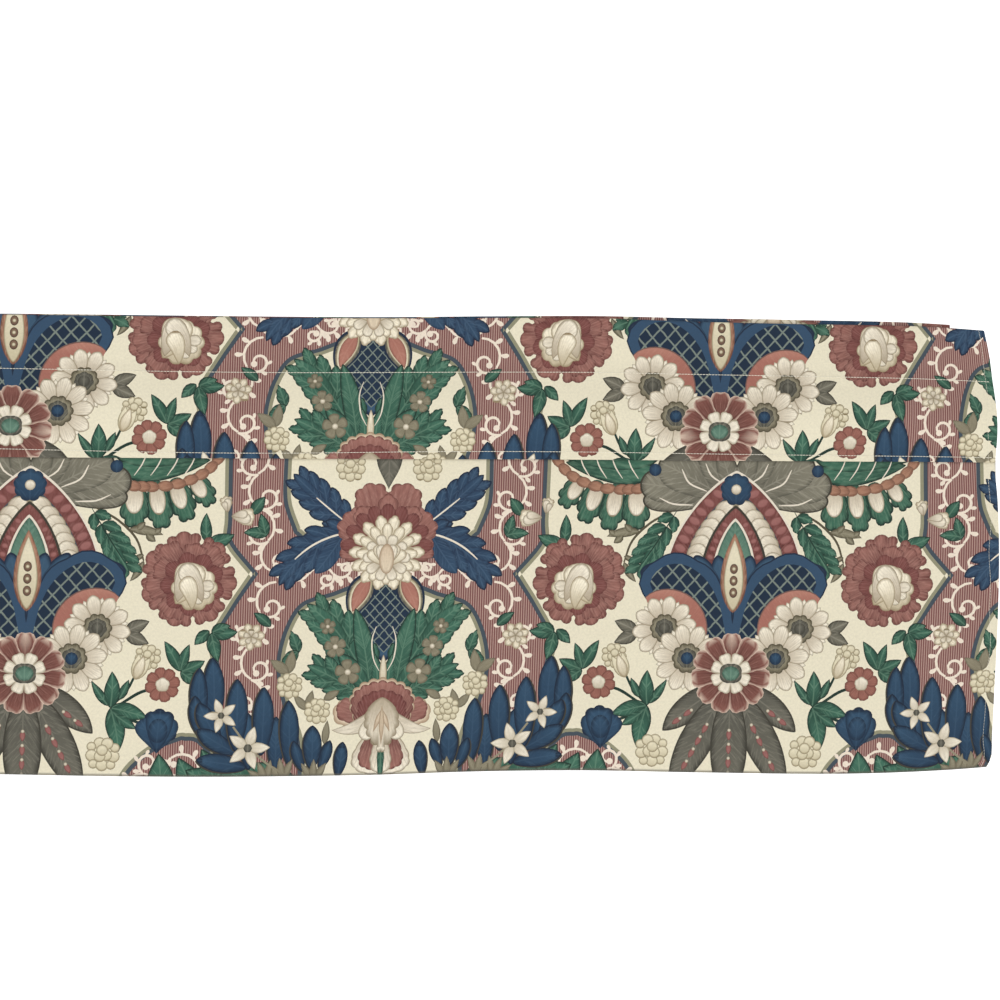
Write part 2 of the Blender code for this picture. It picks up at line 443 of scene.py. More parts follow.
def berries(centre, radius):
    """A cluster of outlined berries."""
    for index, turn in enumerate(ring_turns(9, math.degrees(0.3))):
        far, size = BERRIES[index % 2]
        art.disc(moved(centre, turn, far * radius), size * radius, "berry")
    far, size = INNER_BERRY
    for turn in (250.0, 130.0, 10.0):
        art.disc(moved(centre, turn, far * radius), size * radius, "berry")


def rosebud(centre, turn, radius):
    u, v = moved(centre, turn, -radius)
    art.blade((u, v), turn, 2.1 * radius, 1.9 * radius, "cream", "petal", teeth=7, depth=1.2)
    art.blade((u, v), turn - 16, 1.8 * radius, 1.1 * radius, "pearl", "petal", 24)
    art.blade((u, v), turn + 20, 1.5 * radius, 0.9 * radius, "pearl", "petal", -20)


def daisy(centre, radius, first, eye):
    """A white flower with a shaded eye."""
    art.fan(centre, ring_turns(10, first + 18.0), 0.92 * radius, 12.0, "white", "leaf", 8.0)
    art.fan(centre, ring_turns(10, first), radius, 0.52 * radius, "pearl", "spoon", 6.0)
    for share, name, teeth, depth in (
        (0.45, "stone_leaf_rim", 10, 2.0),
        (0.41, "stone", 10, 1.8),
        (0.30, "ash", 7, 1.2),
        (0.18, eye, 0, 0.0),
    ):
        art.disc(centre, share * radius, name, teeth=teeth, depth=depth)


def star(centre, radius, first):
    art.fan(centre, ring_turns(5, first), radius, 0.5 * radius, "white", "leaf")
    art.disc(centre, 0.2 * radius, "ash", teeth=6, depth=0.5)


def rinceau(points):
    """A stem of alternate arcs, each of which also runs on into a spiral on its hollow side."""
    side = 1
    for here, there in zip(points, points[1:]):
        step = np.subtract(there, here)
        reach = float(np.hypot(*step))
        turn = math.degrees(math.atan2(step[0], -step[1]))
        swing, _ = arc(here, turn - side * 62.0, 1.20 * reach, side * 124.0, np.linspace(0, 1, 7))
        art.stroke(swing, 2.6, "scroll", 0.8)
        bends = (side * 110.0 / reach, side * 350.0 / reach)
        first = turn + side * 66.0
        curl, headings = art.scroll(there, first, 1.45 * reach, *bends, 2.8, "scroll")
        for share, size in ((0.14, 8.0), (0.34, 7.5), (0.54, 6.5)):
            place = int(share * len(headings))
            heading = headings[place] - side * 56.0
            art.blade(tuple(curl[place]), heading, size, 0.6 * size, "scroll", "spoon")
        for at, lean in ((2, -40.0), (4, -52.0)):
            heading = turn + side * (lean + 62.0 * (at - 3) / 3.0)
            art.blade(tuple(swing[at]), heading, 9.5, 5.6, "scroll", "spoon", -side * 60.0)
        side = -side


# ------------ The layout, part by part ------------
BAND_RIGHT = (
    (154, 100), (154, 150), (153, 200), (152, 222), (126, 254), (126, 254), (148, 288), (164, 320),
    (160, 350), (156, 400), (152, 480),
)
BAND_LEFT = (
    (103, 100), (104, 150), (103, 184), (92, 214), (92, 214), (66, 234), (30, 240), (0, 240),
)
BAND_LOWER_LEFT = (
    (0, 258), (26, 262), (52, 272), (82, 282), (97, 304), (105, 334), (104, 360), (96, 390),
    (84, 420), (80, 480),
)
CORNER_RIGHT = (
    (140, 480), (176, 424), (196, 417), (196, 417), (222, 428), (246, 450), (258, 480),
)
RINCEAUX = (  # where each scrolling stem crosses from one side of the stripes to the other
    ((128, 88), (128, 122), (129, 156), (126, 190), (117, 222), (113, 252)),
    ((102, 252), (76, 254), (52, 254), (35, 251), (19, 250), (3, 249)),
    ((108, 262), (124, 292), (131, 325), (130, 358), (124, 390), (120, 424)),
    ((178, 446), (206, 434), (232, 450), (250, 478)),
)


def striped_band():
    """The wide band of stripes that bounds the repeat, with its two borders and scrolls."""
    for width, name in ((15.0, "olive"), (8.0, "slate")):
        for points in (BAND_RIGHT, BAND_LEFT, BAND_LOWER_LEFT, CORNER_RIGHT):
            art.stroke(points, width, name)
    left = (smooth(BAND_LOWER_LEFT)[::-1], smooth(BAND_LEFT)[::-1])
    art.add(np.vstack((smooth(BAND_RIGHT), *left)), "stripes")
    art.add(smooth(CORNER_RIGHT), "stripes")
    for points in RINCEAUX:
        rinceau(points)


def buds_and_leaves():
    """Rosebuds, small flowers and leaves along the striped band."""
    for leaf in (
        ((178, 226, 282, 30, 15, 18),),
        ((176, 224, 14, 30, 12, -20),),
        ((120, 218, 8, 24, 12, 10), (118, 216, 70, 24, 12, 30)),
        ((134, 196, -30, 22, 13, -10),),
    ):
        leafage(leaf, "green", 1.0)
    rosebud((143, 198), 268, 11)
    rosebud((159, 186), 10, 8)
    for leaf in (
        (
            (170, 312, 262, 26, 14, 20), (170, 312, 300, 20, 12, -20),
            (170, 312, 190, 30, 14, 10), (172, 310, 130, 20, 12, 10),
        ),
        ((112, 306, 44, 22, 11, 16),),
    ):
        leafage(leaf, "green", 1.0)
    art.fan((131, 316), ring_turns(7, 20.0), 14, 10, "cream", teeth=5, depth=1.0)
    art.fan((131, 316), ring_turns(5, 0.0), 8, 7, "pearl")


def hanging_pod():
    """The trellised pod on the first axis, between two salmon buds."""
    art.blades(
        (0, 252, 180, 90, 62, "marine_rim"), (0, 254, 180, 85, 57, "marine"),
        (0, 256, 180, 76, 48, "trellis"), (13, 254, 142, 50, 27, "marine_rim", 26),
        (14, 256, 142, 46, 22.5, "taupe", 26), (15, 257, 142, 42, 19, "berry", 24),
        (16, 259, 143, 37, 14.5, "salmon", 22),
    )


def green_wings():
    """The green acanthus on each side of the pod, its small leaves, stars and berries."""
    acanthus((12, 378), 14, 118, 62, 42, 6, "green", teeth=9)
    acanthus((18, 376), 54, 66, 46, 14, 4, "green", teeth=9)
    inner = (
        (12, 378, 4, 92, 26, 14, "flame"), (10, 380, 24, 60, 24, 26, "flame"),
        (5, 378, -2, 46, 15, 14),
    )
    leafage(inner, "green")
    art.stroke(((4, 350), (10, 338), (12, 320), (8, 306)), 1.3, "rib", 0.4)
    art.blade((0, 366), 0, 32, 10, "cream", "drop")
    for centre, radius in (((35, 351), 13), ((48, 326), 11), ((56, 306), 8)):
        art.fan(centre, ring_turns(5, 8.0), radius, 0.95 * radius, "stone")
        art.disc(centre, 0.24 * radius, "white")
    for leaf in ((84, 332, 16, 24, 13, 10), (84, 330, 128, 24, 13, 10)):
        leafage([leaf], "green", 1.0, teeth=7)
    for centre, turns, length, width in (
        ((93, 352), (-8, 54), 23, 11),
        ((74, 388), (-14, 42), 20, 9),
        ((58, 378), (-60,), 18, 9),
        ((56, 422), (-6,), 24, 8),
    ):
        art.fan(centre, turns, length, width, "stone", "leaf")
    berries((92, 364), 13)
    berries((64, 389), 13)


def centre_flower():
    """The flower on the first axis and its wings of acanthus."""
    art.blade((0, 112), 180, 58, 26, "ash", "lancet")
    berries((38, 148), 15)
    acanthus((38, 206), 50, 76, 46, -4, 5, "navy")
    acanthus((34, 214), 98, 92, 50, 56, 5, "navy")
    art.blade((44, 216), 150, 46, 26, "navy", "flame", -10)
    for base, turn, length, bend, width in (
        ((40, 204), 52, 40, -2, 1.6),
        ((36, 213), 96, 62, 40, 2.0),
    ):
        points, _ = arc(base, turn, length, bend, np.linspace(0.0, 1.0, 5))
        art.stroke(points, width, "rib", 0.5)
    for v, turns, length, width, name, teeth, depth, start in (
        (236, (74, -74), 48, 38, "burgundy", 9, 2.0, 6),
        (236, (46, -46), 60, 44, "burgundy", 11, 2.4, 6),
        (236, (16, -16), 75, 42, "burgundy", 11, 2.6, 6),
        (236, (31, -31), 57, 26, "burgundy", 9, 2.0, 6),
        (236, (0,), 62, 24, "burgundy", 9, 2.0, 6),
        (230, (84, -84, 62, -62, 40, -40, 20, -20, 0), 46, 19, "wine", 5, 1.5, 8),
        (233, ring_turns(14, 12.0), 38, 14, "cream", 7, 1.2, 6),
        (234, ring_turns(12, 0.0), 31, 13, "cream", 5, 1.0, 6),
        (238, ring_turns(10, 18.0), 24, 12, "pearl", 0, 0.0, 4),
        (248, (-48, 48, -26, 26), 25, 12, "cream", 0, 0.0, 2),
        (252, (-14, 14), 28, 13, "pearl", 0, 0.0, 2),
    ):
        art.fan((0, v), turns, length, width, name, start=start, teeth=teeth, depth=depth)
    art.disc((0, 239), 15, "blush", 0.5)


def axis_bloom():
    """The large hooded flower low on the first axis."""
    for side in (1, -1):
        art.blade((4 * side, 402), side * 172, 51, 46, "pearl", "petal", teeth=13, depth=1.2)
        art.blade((6 * side, 402), side * 174, 46, 30, "burgundy", "petal", teeth=11, depth=1.4)
    art.blade((0, 416), 180, 48, 7, "green")
    art.fan((0, 400), (76, -76), 50, 30, "blush", teeth=9, depth=1.4)
    art.fan((0, 398), (74, -74), 47, 28, "burgundy", teeth=9, depth=1.4)
    for v, length, width, name, teeth, depth in (
        (416, 60, 82, "blush", 19, 2.4), (416, 57, 79, "burgundy", 19, 2.4),
        (414, 46, 62, "wine", 15, 2.0),
    ):
        art.blade((0, v), 0, length, width, name, "lobe", teeth=teeth, depth=depth)
    for side in (1, -1):
        art.blade((0, 384), side * 150, 58, 15, "pearl", "leaf", -side * 68)
        art.blade((0, 380), side * 162, 42, 19, "pearl", "petal", -side * 20)
    art.blade((0, 376), 180, 57, 36, "pearl", teeth=14, depth=4.0)
    art.fan((0, 388), (160, -160), 24, 5, "blush", "lancet")
    art.blade((0, 384), 180, 40, 5, "blush", "lancet")


def feather_leaf():
    """The large green leaf with pale ovals along a rope."""
    feather = ((176, 142, 102, 92, 34, -14, "spoon"), (164, 134, 96, 106, 30, -8, "spoon"))
    leafage(feather, "moss", 1.6)
    for u in (190, 206, 222, 238):
        art.stroke(((u, 134), (u + 4, 146), (u + 12, 158)), 1.3, "rib", 0.4)
    ovals = (
        (193, 156, 212, 38, 29), (211, 160, 200, 47, 32), (229, 163, 190, 50, 33),
        (249, 163, 181, 48, 37),
    )
    for u, v, turn, length, width in ovals:
        art.blade((u, v), turn, length, width, "green_rim", "lobe", teeth=8, depth=3.2)
        art.blade((u, v), turn, length - 1.6, width - 3.0, "moss", "lobe", teeth=8, depth=3.2)
    for u, v, turn, length, width in ovals:
        art.blade((u, v + 3), turn - 1, length * 0.62, width * 0.48, "pearl", "oval")
    links = smooth(((166, 134), (180, 152), (202, 164), (228, 169), (264, 168)), step=9.0)
    for (u, v), (next_u, next_v) in zip(links, links[1:]):
        turn = math.degrees(math.atan2(next_u - u, v - next_v))
        art.blade((u - 3, v + 1), turn - 8, 16, 11.0, "rope", "oval")


def grey_leaf():
    """The broad grey leaf that spreads behind the palmette."""
    blades = (
        (348, 176, 264, 93, 26, 8, "petal"), (348, 176, 280, 97, 40, -4, "petal"),
        (348, 182, 302, 88, 46, -8, "petal"), (348, 178, 326, 62, 36, -6, "flame"),
        (349, 178, 344, 56, 30, -4, "flame"),
    )
    leafage(blades, "taupe")
    art.disc((267, 149), 6.4, "indigo")
    for points in (
        ((294, 148), (302, 162), (320, 170)),
        ((272, 177), (286, 183), (306, 184)),
        ((318, 142), (324, 154), (336, 162)),
    ):
        art.stroke(points, 1.7, "rib", 0.4)


ARCH_FOOT = 250


def arches(*rows):
    """Nested arches on the second axis: top, half the width and ink of each."""
    for top, half, name in rows:
        art.blade((HALF, ARCH_FOOT), 0, ARCH_FOOT - top, 2.0 * half, name, "arch")


def arch_beads(top, half, count, first, last, radius, name, wide, turn):
    """Beads down the left side of such an arch, between two shares of its height."""
    shares = np.linspace(last, first, count)
    u = HALF - half * FORMS["arch"](shares)
    for place in zip(u, ARCH_FOOT - (ARCH_FOOT - top) * shares):
        art.disc(place, radius, name, wide, turn)


def palmette():
    """Nested arches on the second axis, filled with petals, over a dotted rosette."""
    arches((149, 70, "rib"), (152, 68, "wine"), (169, 52, "slate"), (172, 50, "stone"))
    arch_beads(160, 60, 9, 0.05, 0.86, 4.6, "wine_spot", 1.4, 28)
    arch_beads(180, 42, 8, 0.02, 0.88, 10.5, "pearl", 0.84, 60)
    arches((184, 34, "taupe_rim"), (187, 31.5, "wine"), (197, 22, "rib"), (200, 19.5, "jade"))
    arch_beads(192, 26.5, 6, 0.1, 0.8, 3.0, "wine_spot", 1.2, 28)
    art.disc((HALF, 168), 16.5, "indigo", teeth=9, depth=1.8)
    art.disc((HALF, 168), 5.2, "white")


def fern():
    """The dark jagged leaf, the curl beside it and the leaves by the white flowers."""
    curl = (
        (253, 211, 272, 34, 10, -22), (246, 212, 310, 12, 8, 10), (236, 215, 220, 12, 8, 20),
        (229, 215, 300, 9, 7, 10), (238, 242, 160, 24, 8, -26), (238, 236, 110, 12, 6, 20),
    )
    art.stroke(((286, 190), (264, 202), (246, 220), (238, 242)), 2.4, "stone_leaf_rim", 0.6)
    leafage(curl, "stone_leaf", 0.9)
    blades = []
    for share in (0.84, 0.68, 0.52, 0.36, 0.20, 0.02):
        start = on_arc((288, 194), 217, 72, -10, share)
        size = 27.0 - 20.0 * abs(share - 0.44)
        for side in (1, -1):
            blades.append((*start, 217 - 10 * share + side * 46, size, 12, -side * 24))
    blades.append((276, 214, 214, 46, 10, -6))
    leafage(blades, "green", 0.9, teeth=6)
    art.stroke(((290, 190), (272, 220), (256, 244)), 1.3, "green_rim", 0.4)
    leafage(((254, 312, 300, 26, 14, -10), (254, 312, 240, 26, 14, 10)), "taupe", 1.0)


WING_FIELD = (  # the upper edge of the trellised part of a wing
    (270, 276), (265, 263), (272, 250), (287, 243), (305, 246), (321, 258), (333, 276),
    (341, 302), (347, 346), (330, 346),
)
WING_LINING = ((281, 313), 37, -30.0, 104.0)  # centre, radius, and the turns it runs between
FIELD_POINTS = 44
FIELD_SCALLOPS = 9
FIELD_MESH = 115.0  # the length that the trellis is drawn to


def navy_wings():
    """Navy wings below the arches with a trellised field, a salmon lining and a pale bud."""
    lobes = (
        (349, 350, -3, 117, 34, -10, "lobe"), (347, 348, -8, 120, 38, -20, "lobe"),
        (344, 342, -12, 120, 42, -30, "lobe"), (340, 330, -18, 113, 46, -42, "lobe"),
        (337, 312, -27, 106, 46, -53, "lobe"), (346, 346, -12, 62, 34, -14),
    )
    leafage(lobes, "marine", 1.6)
    centre, radius, first, last = WING_LINING
    lining = [moved(centre, turn, radius) for turn in np.linspace(first, last, 9)]
    field, shares = spread(np.vstack((smooth(WING_FIELD, 7.0), lining[:0:-1])), FIELD_POINTS)
    scallops = 2.4 * np.abs(np.sin(math.pi * FIELD_SCALLOPS * shares))[:, None]
    art.add(field + (9.2 + scallops) * outward(field), "marine_rim")
    art.add(field + (7.8 + scallops) * outward(field), "marine_fill")
    art.add(field, "trellis", length=FIELD_MESH)
    art.stroke(lining, 17.0, "salmon_rim", 0.5)
    art.stroke(lining, 14.5, "salmon", 0.5)
    art.blades((HALF, 292, 0, 80, 27, "rope"), (HALF, 290, 0, 72, 20, "berry"))
    for v in (272, 260, 248):
        art.disc((HALF, v), 5.2, "bead", 0.8)
        art.disc((HALF, v), 2.0, "berry")


def white_flowers():
    daisy((281, 308), 33, 10, "ash")
    daisy((305, 338), 35, 24, "indigo")


def carnation():
    """The red carnation with a cream rosebud at its heart."""
    for centre, turns, length, width, name, teeth, depth in (
        ((194, 260), ring_turns(7, 8.0), 48, 40, "burgundy", 7, 3.2),
        ((194, 260), (38, 100, 152, 318), 43, 34, "burgundy", 7, 2.8),
        ((194, 260), (68, 348), 37, 28, "burgundy", 7, 2.4),
        ((190, 264), ring_turns(9, 14.0), 32, 20, "wine", 5, 1.5),
    ):
        art.fan(centre, turns, length, width, name, start=6, teeth=teeth, depth=depth)
    art.disc((188, 268), 23, "cream", teeth=10, depth=2.6)
    art.fan((190, 264), (202, 232, 262), 22, 14, "pearl", teeth=5, depth=1.0)
    art.blades(
        (206, 284, -34, 44, 34, "cream", 24), (204, 282, -8, 40, 26, "pearl", -34),
        (180, 282, 12, 42, 22, "pearl", 40), (190, 290, -6, 34, 20, "cream", 44),
        form="petal",
    )


def right_sprigs():
    """The small flowers, buds and sprigs between the carnation and the rosette."""
    for points, width in (
        (((213, 366), (236, 370), (262, 386)), 3.0),
        (((222, 404), (244, 398), (266, 384), (284, 364)), 3.0),
        (((242, 352), (250, 368), (262, 382)), 2.6),
    ):
        art.stroke(points, width, "green_rim", 0.6)
    lower = (
        (266, 386, -8, 36, 16, 14), (266, 386, 262, 38, 17, -14), (266, 386, 200, 44, 19, -16),
        (268, 384, 40, 30, 9, -10), (258, 378, -30, 22, 9, 10), (262, 392, 232, 26, 12, 10),
    )
    upper = (
        (199, 350, 24, 34, 13, 10), (199, 350, -10, 28, 11, -14), (199, 350, 286, 26, 13, 16),
        (199, 350, 232, 24, 12, 10),
    )
    leafage(lower, "green", 1.0)
    leafage(upper, "green", 1.0)
    berries((231, 336), 13)
    art.fan((243, 358), (-34, -8), 26, 11, "berry", "leaf")
    art.blade((243, 358), -20, 25, 11, "cream")
    art.fan((216, 363), ring_turns(8, 12.0), 17.5, 12.95, "russet")
    art.disc((216, 363), 7.35, "white", teeth=5, depth=0.9)
    art.disc((218, 405), 19, "navy_rim", teeth=9, depth=2.2)
    art.fan((220, 428), (-28, 24), 35, 22, "indigo", bend=8)
    art.blade((220, 430), -4, 42, 30, "indigo", "petal")
    art.blade((220, 420), -4, 24, 19, "indigo", "oval")
    berries((272, 431), 17)
    leafage(((172, 476, 42, 50, 26, -20), (216, 482, -6, 52, 28, 16)), "green")


def rosette():
    """The red rosette on the second axis, with its fan of grey leaves."""
    foot, centre = (HALF, 362), (HALF, 353)
    for turn, length, width, bend in ((243, 84, 28, -18), (211, 124, 35, -6), (180, 122, 38, 0)):
        leafage([(*foot, turn, length, width, bend, "paddle")], "ash", 1.6)
        heading = turn + bend / 2.0
        for far in (48, 62, 76, 90):
            if far < length - 8:
                place = moved(foot, heading, far)
                art.blade(place, heading, 10, 7.5, "wine_spot", "drop")
                art.disc(place, 1.7, "white")
    art.fan(centre, ring_turns(11, 0.0), 42, 23, "rose", start=4, teeth=4, depth=2.4)
    art.fan(centre, ring_turns(8, 22.5), 22, 15, "white", teeth=4, depth=1.6)
    art.disc(centre, 11.0, "ash", 1.15, teeth=4, depth=1.4)
    art.disc(centre, 7.4, "jade", 1.2)


def navy_clump():
    """Upright navy leaves along the foot of the print, with white stars before them."""
    foliage = (
        (80, 462, 84, 66, 34, -26), (112, 466, 70, 60, 32, -20), (150, 474, 48, 50, 30, 16),
        (160, 466, 14, 44, 22, 16),
    )
    leafage(foliage, "green")
    for u, v, turn, length, width, bend in (
        (104, 448, -2, 54, 24, 4), (130, 446, 0, 56, 26, 4), (156, 438, 8, 58, 26, 4),
        (166, 404, -4, 68, 28, 12), (178, 408, 6, 62, 24, -8), (174, 416, 22, 44, 22, -18),
        (158, 418, 40, 44, 25, -20), (142, 430, 64, 46, 24, -10), (143, 428, -2, 71, 29, 4),
        (118, 432, -4, 67, 28, 6), (132, 444, 78, 50, 24, 6), (90, 442, 0, 64, 26, 4),
        (60, 446, -24, 30, 16, 10), (76, 448, 24, 32, 16, -10), (68, 446, -2, 43, 25, 4),
        (42, 454, -10, 35, 18, 6),
    ):
        # Each leaf has its own shade a little behind it
        art.blade((u + 0.6, v + 0.6), turn + 1.0, length, width + 1.0, "ash_rim", "flame", bend)
        leafage([(u, v, turn, length, width, bend, "flame")], "indigo", 1.2)
    for u, v, turn in ((66, 458, 0), (96, 456, 10), (112, 458, 24)):
        art.fan((u, v), (turn - 34, turn + 34, turn), 22, 8, "stone", "leaf")
    art.stroke(((92, 452), (112, 440), (130, 424), (146, 404)), 2.0, "stone")
    star((158, 393), 17.5, 20)
    star((131, 425), 22, -16)


# From the lowest to the topmost
for draw in (
    striped_band, buds_and_leaves, hanging_pod, green_wings, centre_flower, axis_bloom,
    feather_leaf, grey_leaf, palmette, fern, navy_wings, white_flowers, carnation, right_sprigs,
    rosette, navy_clump,
):
    draw()


# ------------ Cutting the print into triangles ------------
Partition = namedtuple("Partition", "points triangles labels edges")
GROUND = -1
THINNING = 0.14  # how far a line of the print may move where its points are thinned out
LEVEL = 1e-9  # a segment with a smaller change of a coordinate than this is level in it


def runs_of(edges):
    """Runs of edges, each between two points where other than two of them meet."""
    around = defaultdict(list)
    for number, (one, other) in enumerate(edges):
        around[one].append((other, number))
        around[other].append((one, number))
    used = [False] * len(edges)
    found = []
    for start in [point for point in around if len(around[point]) != 2] + list(around):
        for at, number in around[start]:
            if used[number]:
                continue
            used[number] = True
            run = [start, at]
            while len(around[at]) == 2 and at != start:
                at, number = next((step for step in around[at] if not used[step[1]]), (at, -1))
                if number < 0:
                    break
                used[number] = True
                run.append(at)
            found.append(run)
    return found


def thinned(line):
    """Which points of a line it needs, to stay as close to its course as THINNING."""
    kept = {0, len(line) - 1}
    spans = [(0, len(line) - 1)]
    while spans:
        first, last = spans.pop()
        if last - first < 2:
            continue
        between = line[first + 1 : last] - line[first]
        chord = line[last] - line[first]
        size = math.hypot(*chord)
        if size < NOTHING:
            away = np.hypot(*between.T)
        else:
            away = np.abs(between[:, 0] * chord[1] - between[:, 1] * chord[0]) / size
        worst = int(np.argmax(away))
        if away[worst] > THINNING:
            middle = first + 1 + worst
            kept.add(middle)
            spans += [(first, middle), (middle, last)]
    return sorted(kept)


def constrained(points, edges, faces=()):
    """A triangulation that keeps these edges and faces."""
    found = delaunay_2d_cdt([Vector(p) for p in points], edges, faces, 0, TOUCH)
    points = np.array([tuple(p) for p in found[0]])
    return points, np.array(found[2]), found[5]


def counterclockwise(points):
    return points if signed_area(points) > 0.0 else points[::-1]


def cut_print(shapes):
    """Triangles of the half repeat, which shape shows on each, and the edges between shapes.

    A label is twice the shape's place in the list, plus one on its core.
    """
    points, faces, owners = [], [], []
    for index, shape in enumerate(shapes):
        for part, outline in enumerate((shape.outline, shape.core)):
            if outline is None:
                continue
            outline = counterclockwise(outline)
            faces.append(list(range(len(points), len(points) + len(outline))))
            owners.append((index, part))
            points.extend(map(tuple, outline))
    first = len(points)
    low, high = ROWS
    points += [(0.0, low), (HALF, low), (HALF, high), (0.0, high)]
    box = [(first + side, first + (side + 1) % 4) for side in range(4)]
    points, triangles, within = constrained(points, box, faces)

    centres = points[triangles].mean(axis=1)
    inside = (centres[:, 0] > 0.0) & (centres[:, 0] < HALF)
    inside &= (centres[:, 1] > low) & (centres[:, 1] < high)
    labels = []
    for containing in within:
        held = {owners[face] for face in containing}
        top = max((index for index, part in held if part == 0), default=GROUND)
        labels.append(GROUND if top == GROUND else 2 * top + ((top, 1) in held))
    triangles, labels = triangles[inside], np.array(labels)[inside]

    sides = np.sort(triangles[:, [[0, 1], [1, 2], [2, 0]]].reshape(-1, 2), axis=1)
    side_labels = np.repeat(labels, 3)
    order = np.lexsort((sides[:, 1], sides[:, 0]))
    sides, side_labels = sides[order], side_labels[order]
    same = (sides[1:] == sides[:-1]).all(axis=1)
    kept = np.ones(len(sides), bool)
    kept[:-1][same & (side_labels[1:] == side_labels[:-1])] = False
    kept[1:][same] = False
    edges = []
    for run in runs_of(sides[kept].tolist()):
        line = points[run]
        line = line[thinned(line)]
        edges.append(np.stack((line[:-1], line[1:]), axis=1))
    return Partition(points, triangles, labels, np.concatenate(edges))


def clipped(segments, axis, low, high):
    """The parts of segments between two values of one coordinate."""
    a, b = segments[:, 0], segments[:, 1]
    low_share, high_share = np.zeros(len(a)), np.ones(len(a))
    run = b[:, axis] - a[:, axis]
    level = np.abs(run) < LEVEL
    safe = np.where(level, LEVEL, run)
    to_low = (low - a[:, axis]) / safe
    to_high = (high - a[:, axis]) / safe
    low_share = np.maximum(low_share, np.minimum(to_low, to_high))
    high_share = np.minimum(high_share, np.maximum(to_low, to_high))
    outside = level & ((a[:, axis] < low - NOTHING) | (a[:, axis] > high + NOTHING))
    low_share[level], high_share[level] = 0.0, 1.0
    kept = ~outside & (high_share - low_share > NOTHING)
    a, b = a[kept], b[kept]
    low_share, high_share = low_share[kept, None], high_share[kept, None]
    return np.stack((a + (b - a) * low_share, a + (b - a) * high_share), axis=1)


# ------------ The cloth's section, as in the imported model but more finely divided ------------
def read_smoothly(table, places):
    """A table's second column, on a smooth curve through its rows."""
    at, values = (np.array(column) for column in zip(*table))
    slopes = np.gradient(values, at)
    places = np.clip(places, at[0], at[-1])
    index = np.clip(np.searchsorted(at, places) - 1, 0, len(at) - 2)
    run = at[index + 1] - at[index]
    t = (places - at[index]) / run
    rise = values[index + 1] - values[index]
    return (
        values[index]
        + run * slopes[index] * (t - 2 * t**2 + t**3)
        + rise * (3 * t**2 - 2 * t**3)
        + run * slopes[index + 1] * (t**3 - t**2)
    )


def band_depth(drop):
    """Depth of the band's middle: close to the back at the header, open in the pocket."""
    swell_start = HEADER - STITCH_GAP
    swell_end = HEADER + POCKET + STITCH_GAP / 2.0
    share = np.clip((drop - swell_start) / (swell_end - swell_start), 0.0, 1.0)
    stepped_out = BACK_DEPTH + 3.0 * PITCH - HEADER_DEPTH
    swell = (POCKET_SWELL - stepped_out / 2.0) * np.sin(math.pi * share) ** SWELL_POWER
    return HEADER_DEPTH + stepped_out * share + swell


def turn_rows(drop, from_depth, to_depth, downward, tilt=0.0):
    """Rows (drop, depth, tilt) around an edge at this drop, from one layer to the next."""
    radius = abs(from_depth - to_depth) / 2.0
    middle = (from_depth + to_depth) / 2.0
    outward = radius if downward else -radius
    angles = np.linspace(0.0, math.pi, TURN_STEPS + 1)
    return [
        (
            drop - outward * (1.0 - math.sin(angle)),
            middle + (from_depth - middle) * math.cos(angle),
            tilt,
        )
        for angle in angles
    ]


class Wrap:
    """The section of the cloth from its first raw end to its last, by the run along it."""

    def __init__(self):
        skirt = BACK_DEPTH + PITCH
        under = BACK_DEPTH + 2.0 * PITCH
        lower = HEADER + POCKET
        rows = [(drop, skirt, 0.0) for drop in (SKIRT_START, lower, BAND, *ROW_DROPS)]
        self.at_bottom = len(rows)
        rows += turn_rows(HEIGHT, skirt, BACK_DEPTH, downward=True)
        rows += [(drop, BACK_DEPTH, 0.0) for drop in reversed((HEADER, BACK_DROP, *ROW_DROPS))]
        self.at_top = len(rows)
        rows += turn_rows(0.0, BACK_DEPTH, HEADER_DEPTH, downward=False)
        rows += [(drop, HEADER_DEPTH, 0.0) for drop in HEADER_DROPS]
        for drop in np.linspace(HEADER - STITCH_GAP, lower, POCKET_STEPS + 1):
            rows.append((drop, float(band_depth(drop)), 0.0))
        rows += turn_rows(BAND, float(band_depth(BAND)), under, downward=True, tilt=BAND_TILT)
        rows.append((BAND - TURN_UNDER, under, BAND_TILT))
        self.drop, self.depth, self.tilt = (np.array(column) for column in zip(*rows))
        steps = np.hypot(np.diff(self.drop), np.diff(self.depth))
        self.run = np.concatenate(([0.0], np.cumsum(steps)))
        self.bottom = float(self.run[self.at_bottom + TURN_STEPS // 2])
        self.top = float(self.run[self.at_top + TURN_STEPS // 2])
        self.end = float(self.run[-1])
        ahead = np.column_stack((np.diff(self.drop), np.diff(self.depth))) / steps[:, None]
        ahead = np.vstack((ahead[:1], (ahead[1:] + ahead[:-1]) / 2.0, ahead[-1:]))
        ahead /= np.hypot(*ahead.T)[:, None]
        self.out_depth, self.out_drop = ahead[:, 0], -ahead[:, 1]

    def on_band(self, drop):
        """The run to this drop on the band."""
        first = self.at_top + TURN_STEPS
        last = int(np.argmax(self.drop[first:])) + first
        return float(np.interp(drop, self.drop[first:last], self.run[first:last]))

    def on_back(self, drop):
        first, last = self.at_bottom + TURN_STEPS, self.at_top + 1
        return float(np.interp(-drop, -self.drop[first:last], self.run[first:last]))


wrap = Wrap()

# Knots of the run, and the row of the print at each
ROW_KNOTS = (
    (0.0, SKIRT_START / MM),
    (wrap.bottom, ROWS[1]),
    ((wrap.bottom + wrap.top + (ROWS[1] - BAND_ROW) * MM) / 2.0, ROWS[0]),
    (wrap.end, BAND_ROW + (wrap.end - wrap.top) / MM),
)
FIRST_END = FRONT_END_X + (math.pi - 1.0) * HEM_RADIUS + HEM  # where the strip begins
LAST_END = FOLD_X - FOLD_RUN - (REAR_END_X - FOLD_X) - (math.pi - 1.0) * HEM_RADIUS - HEM
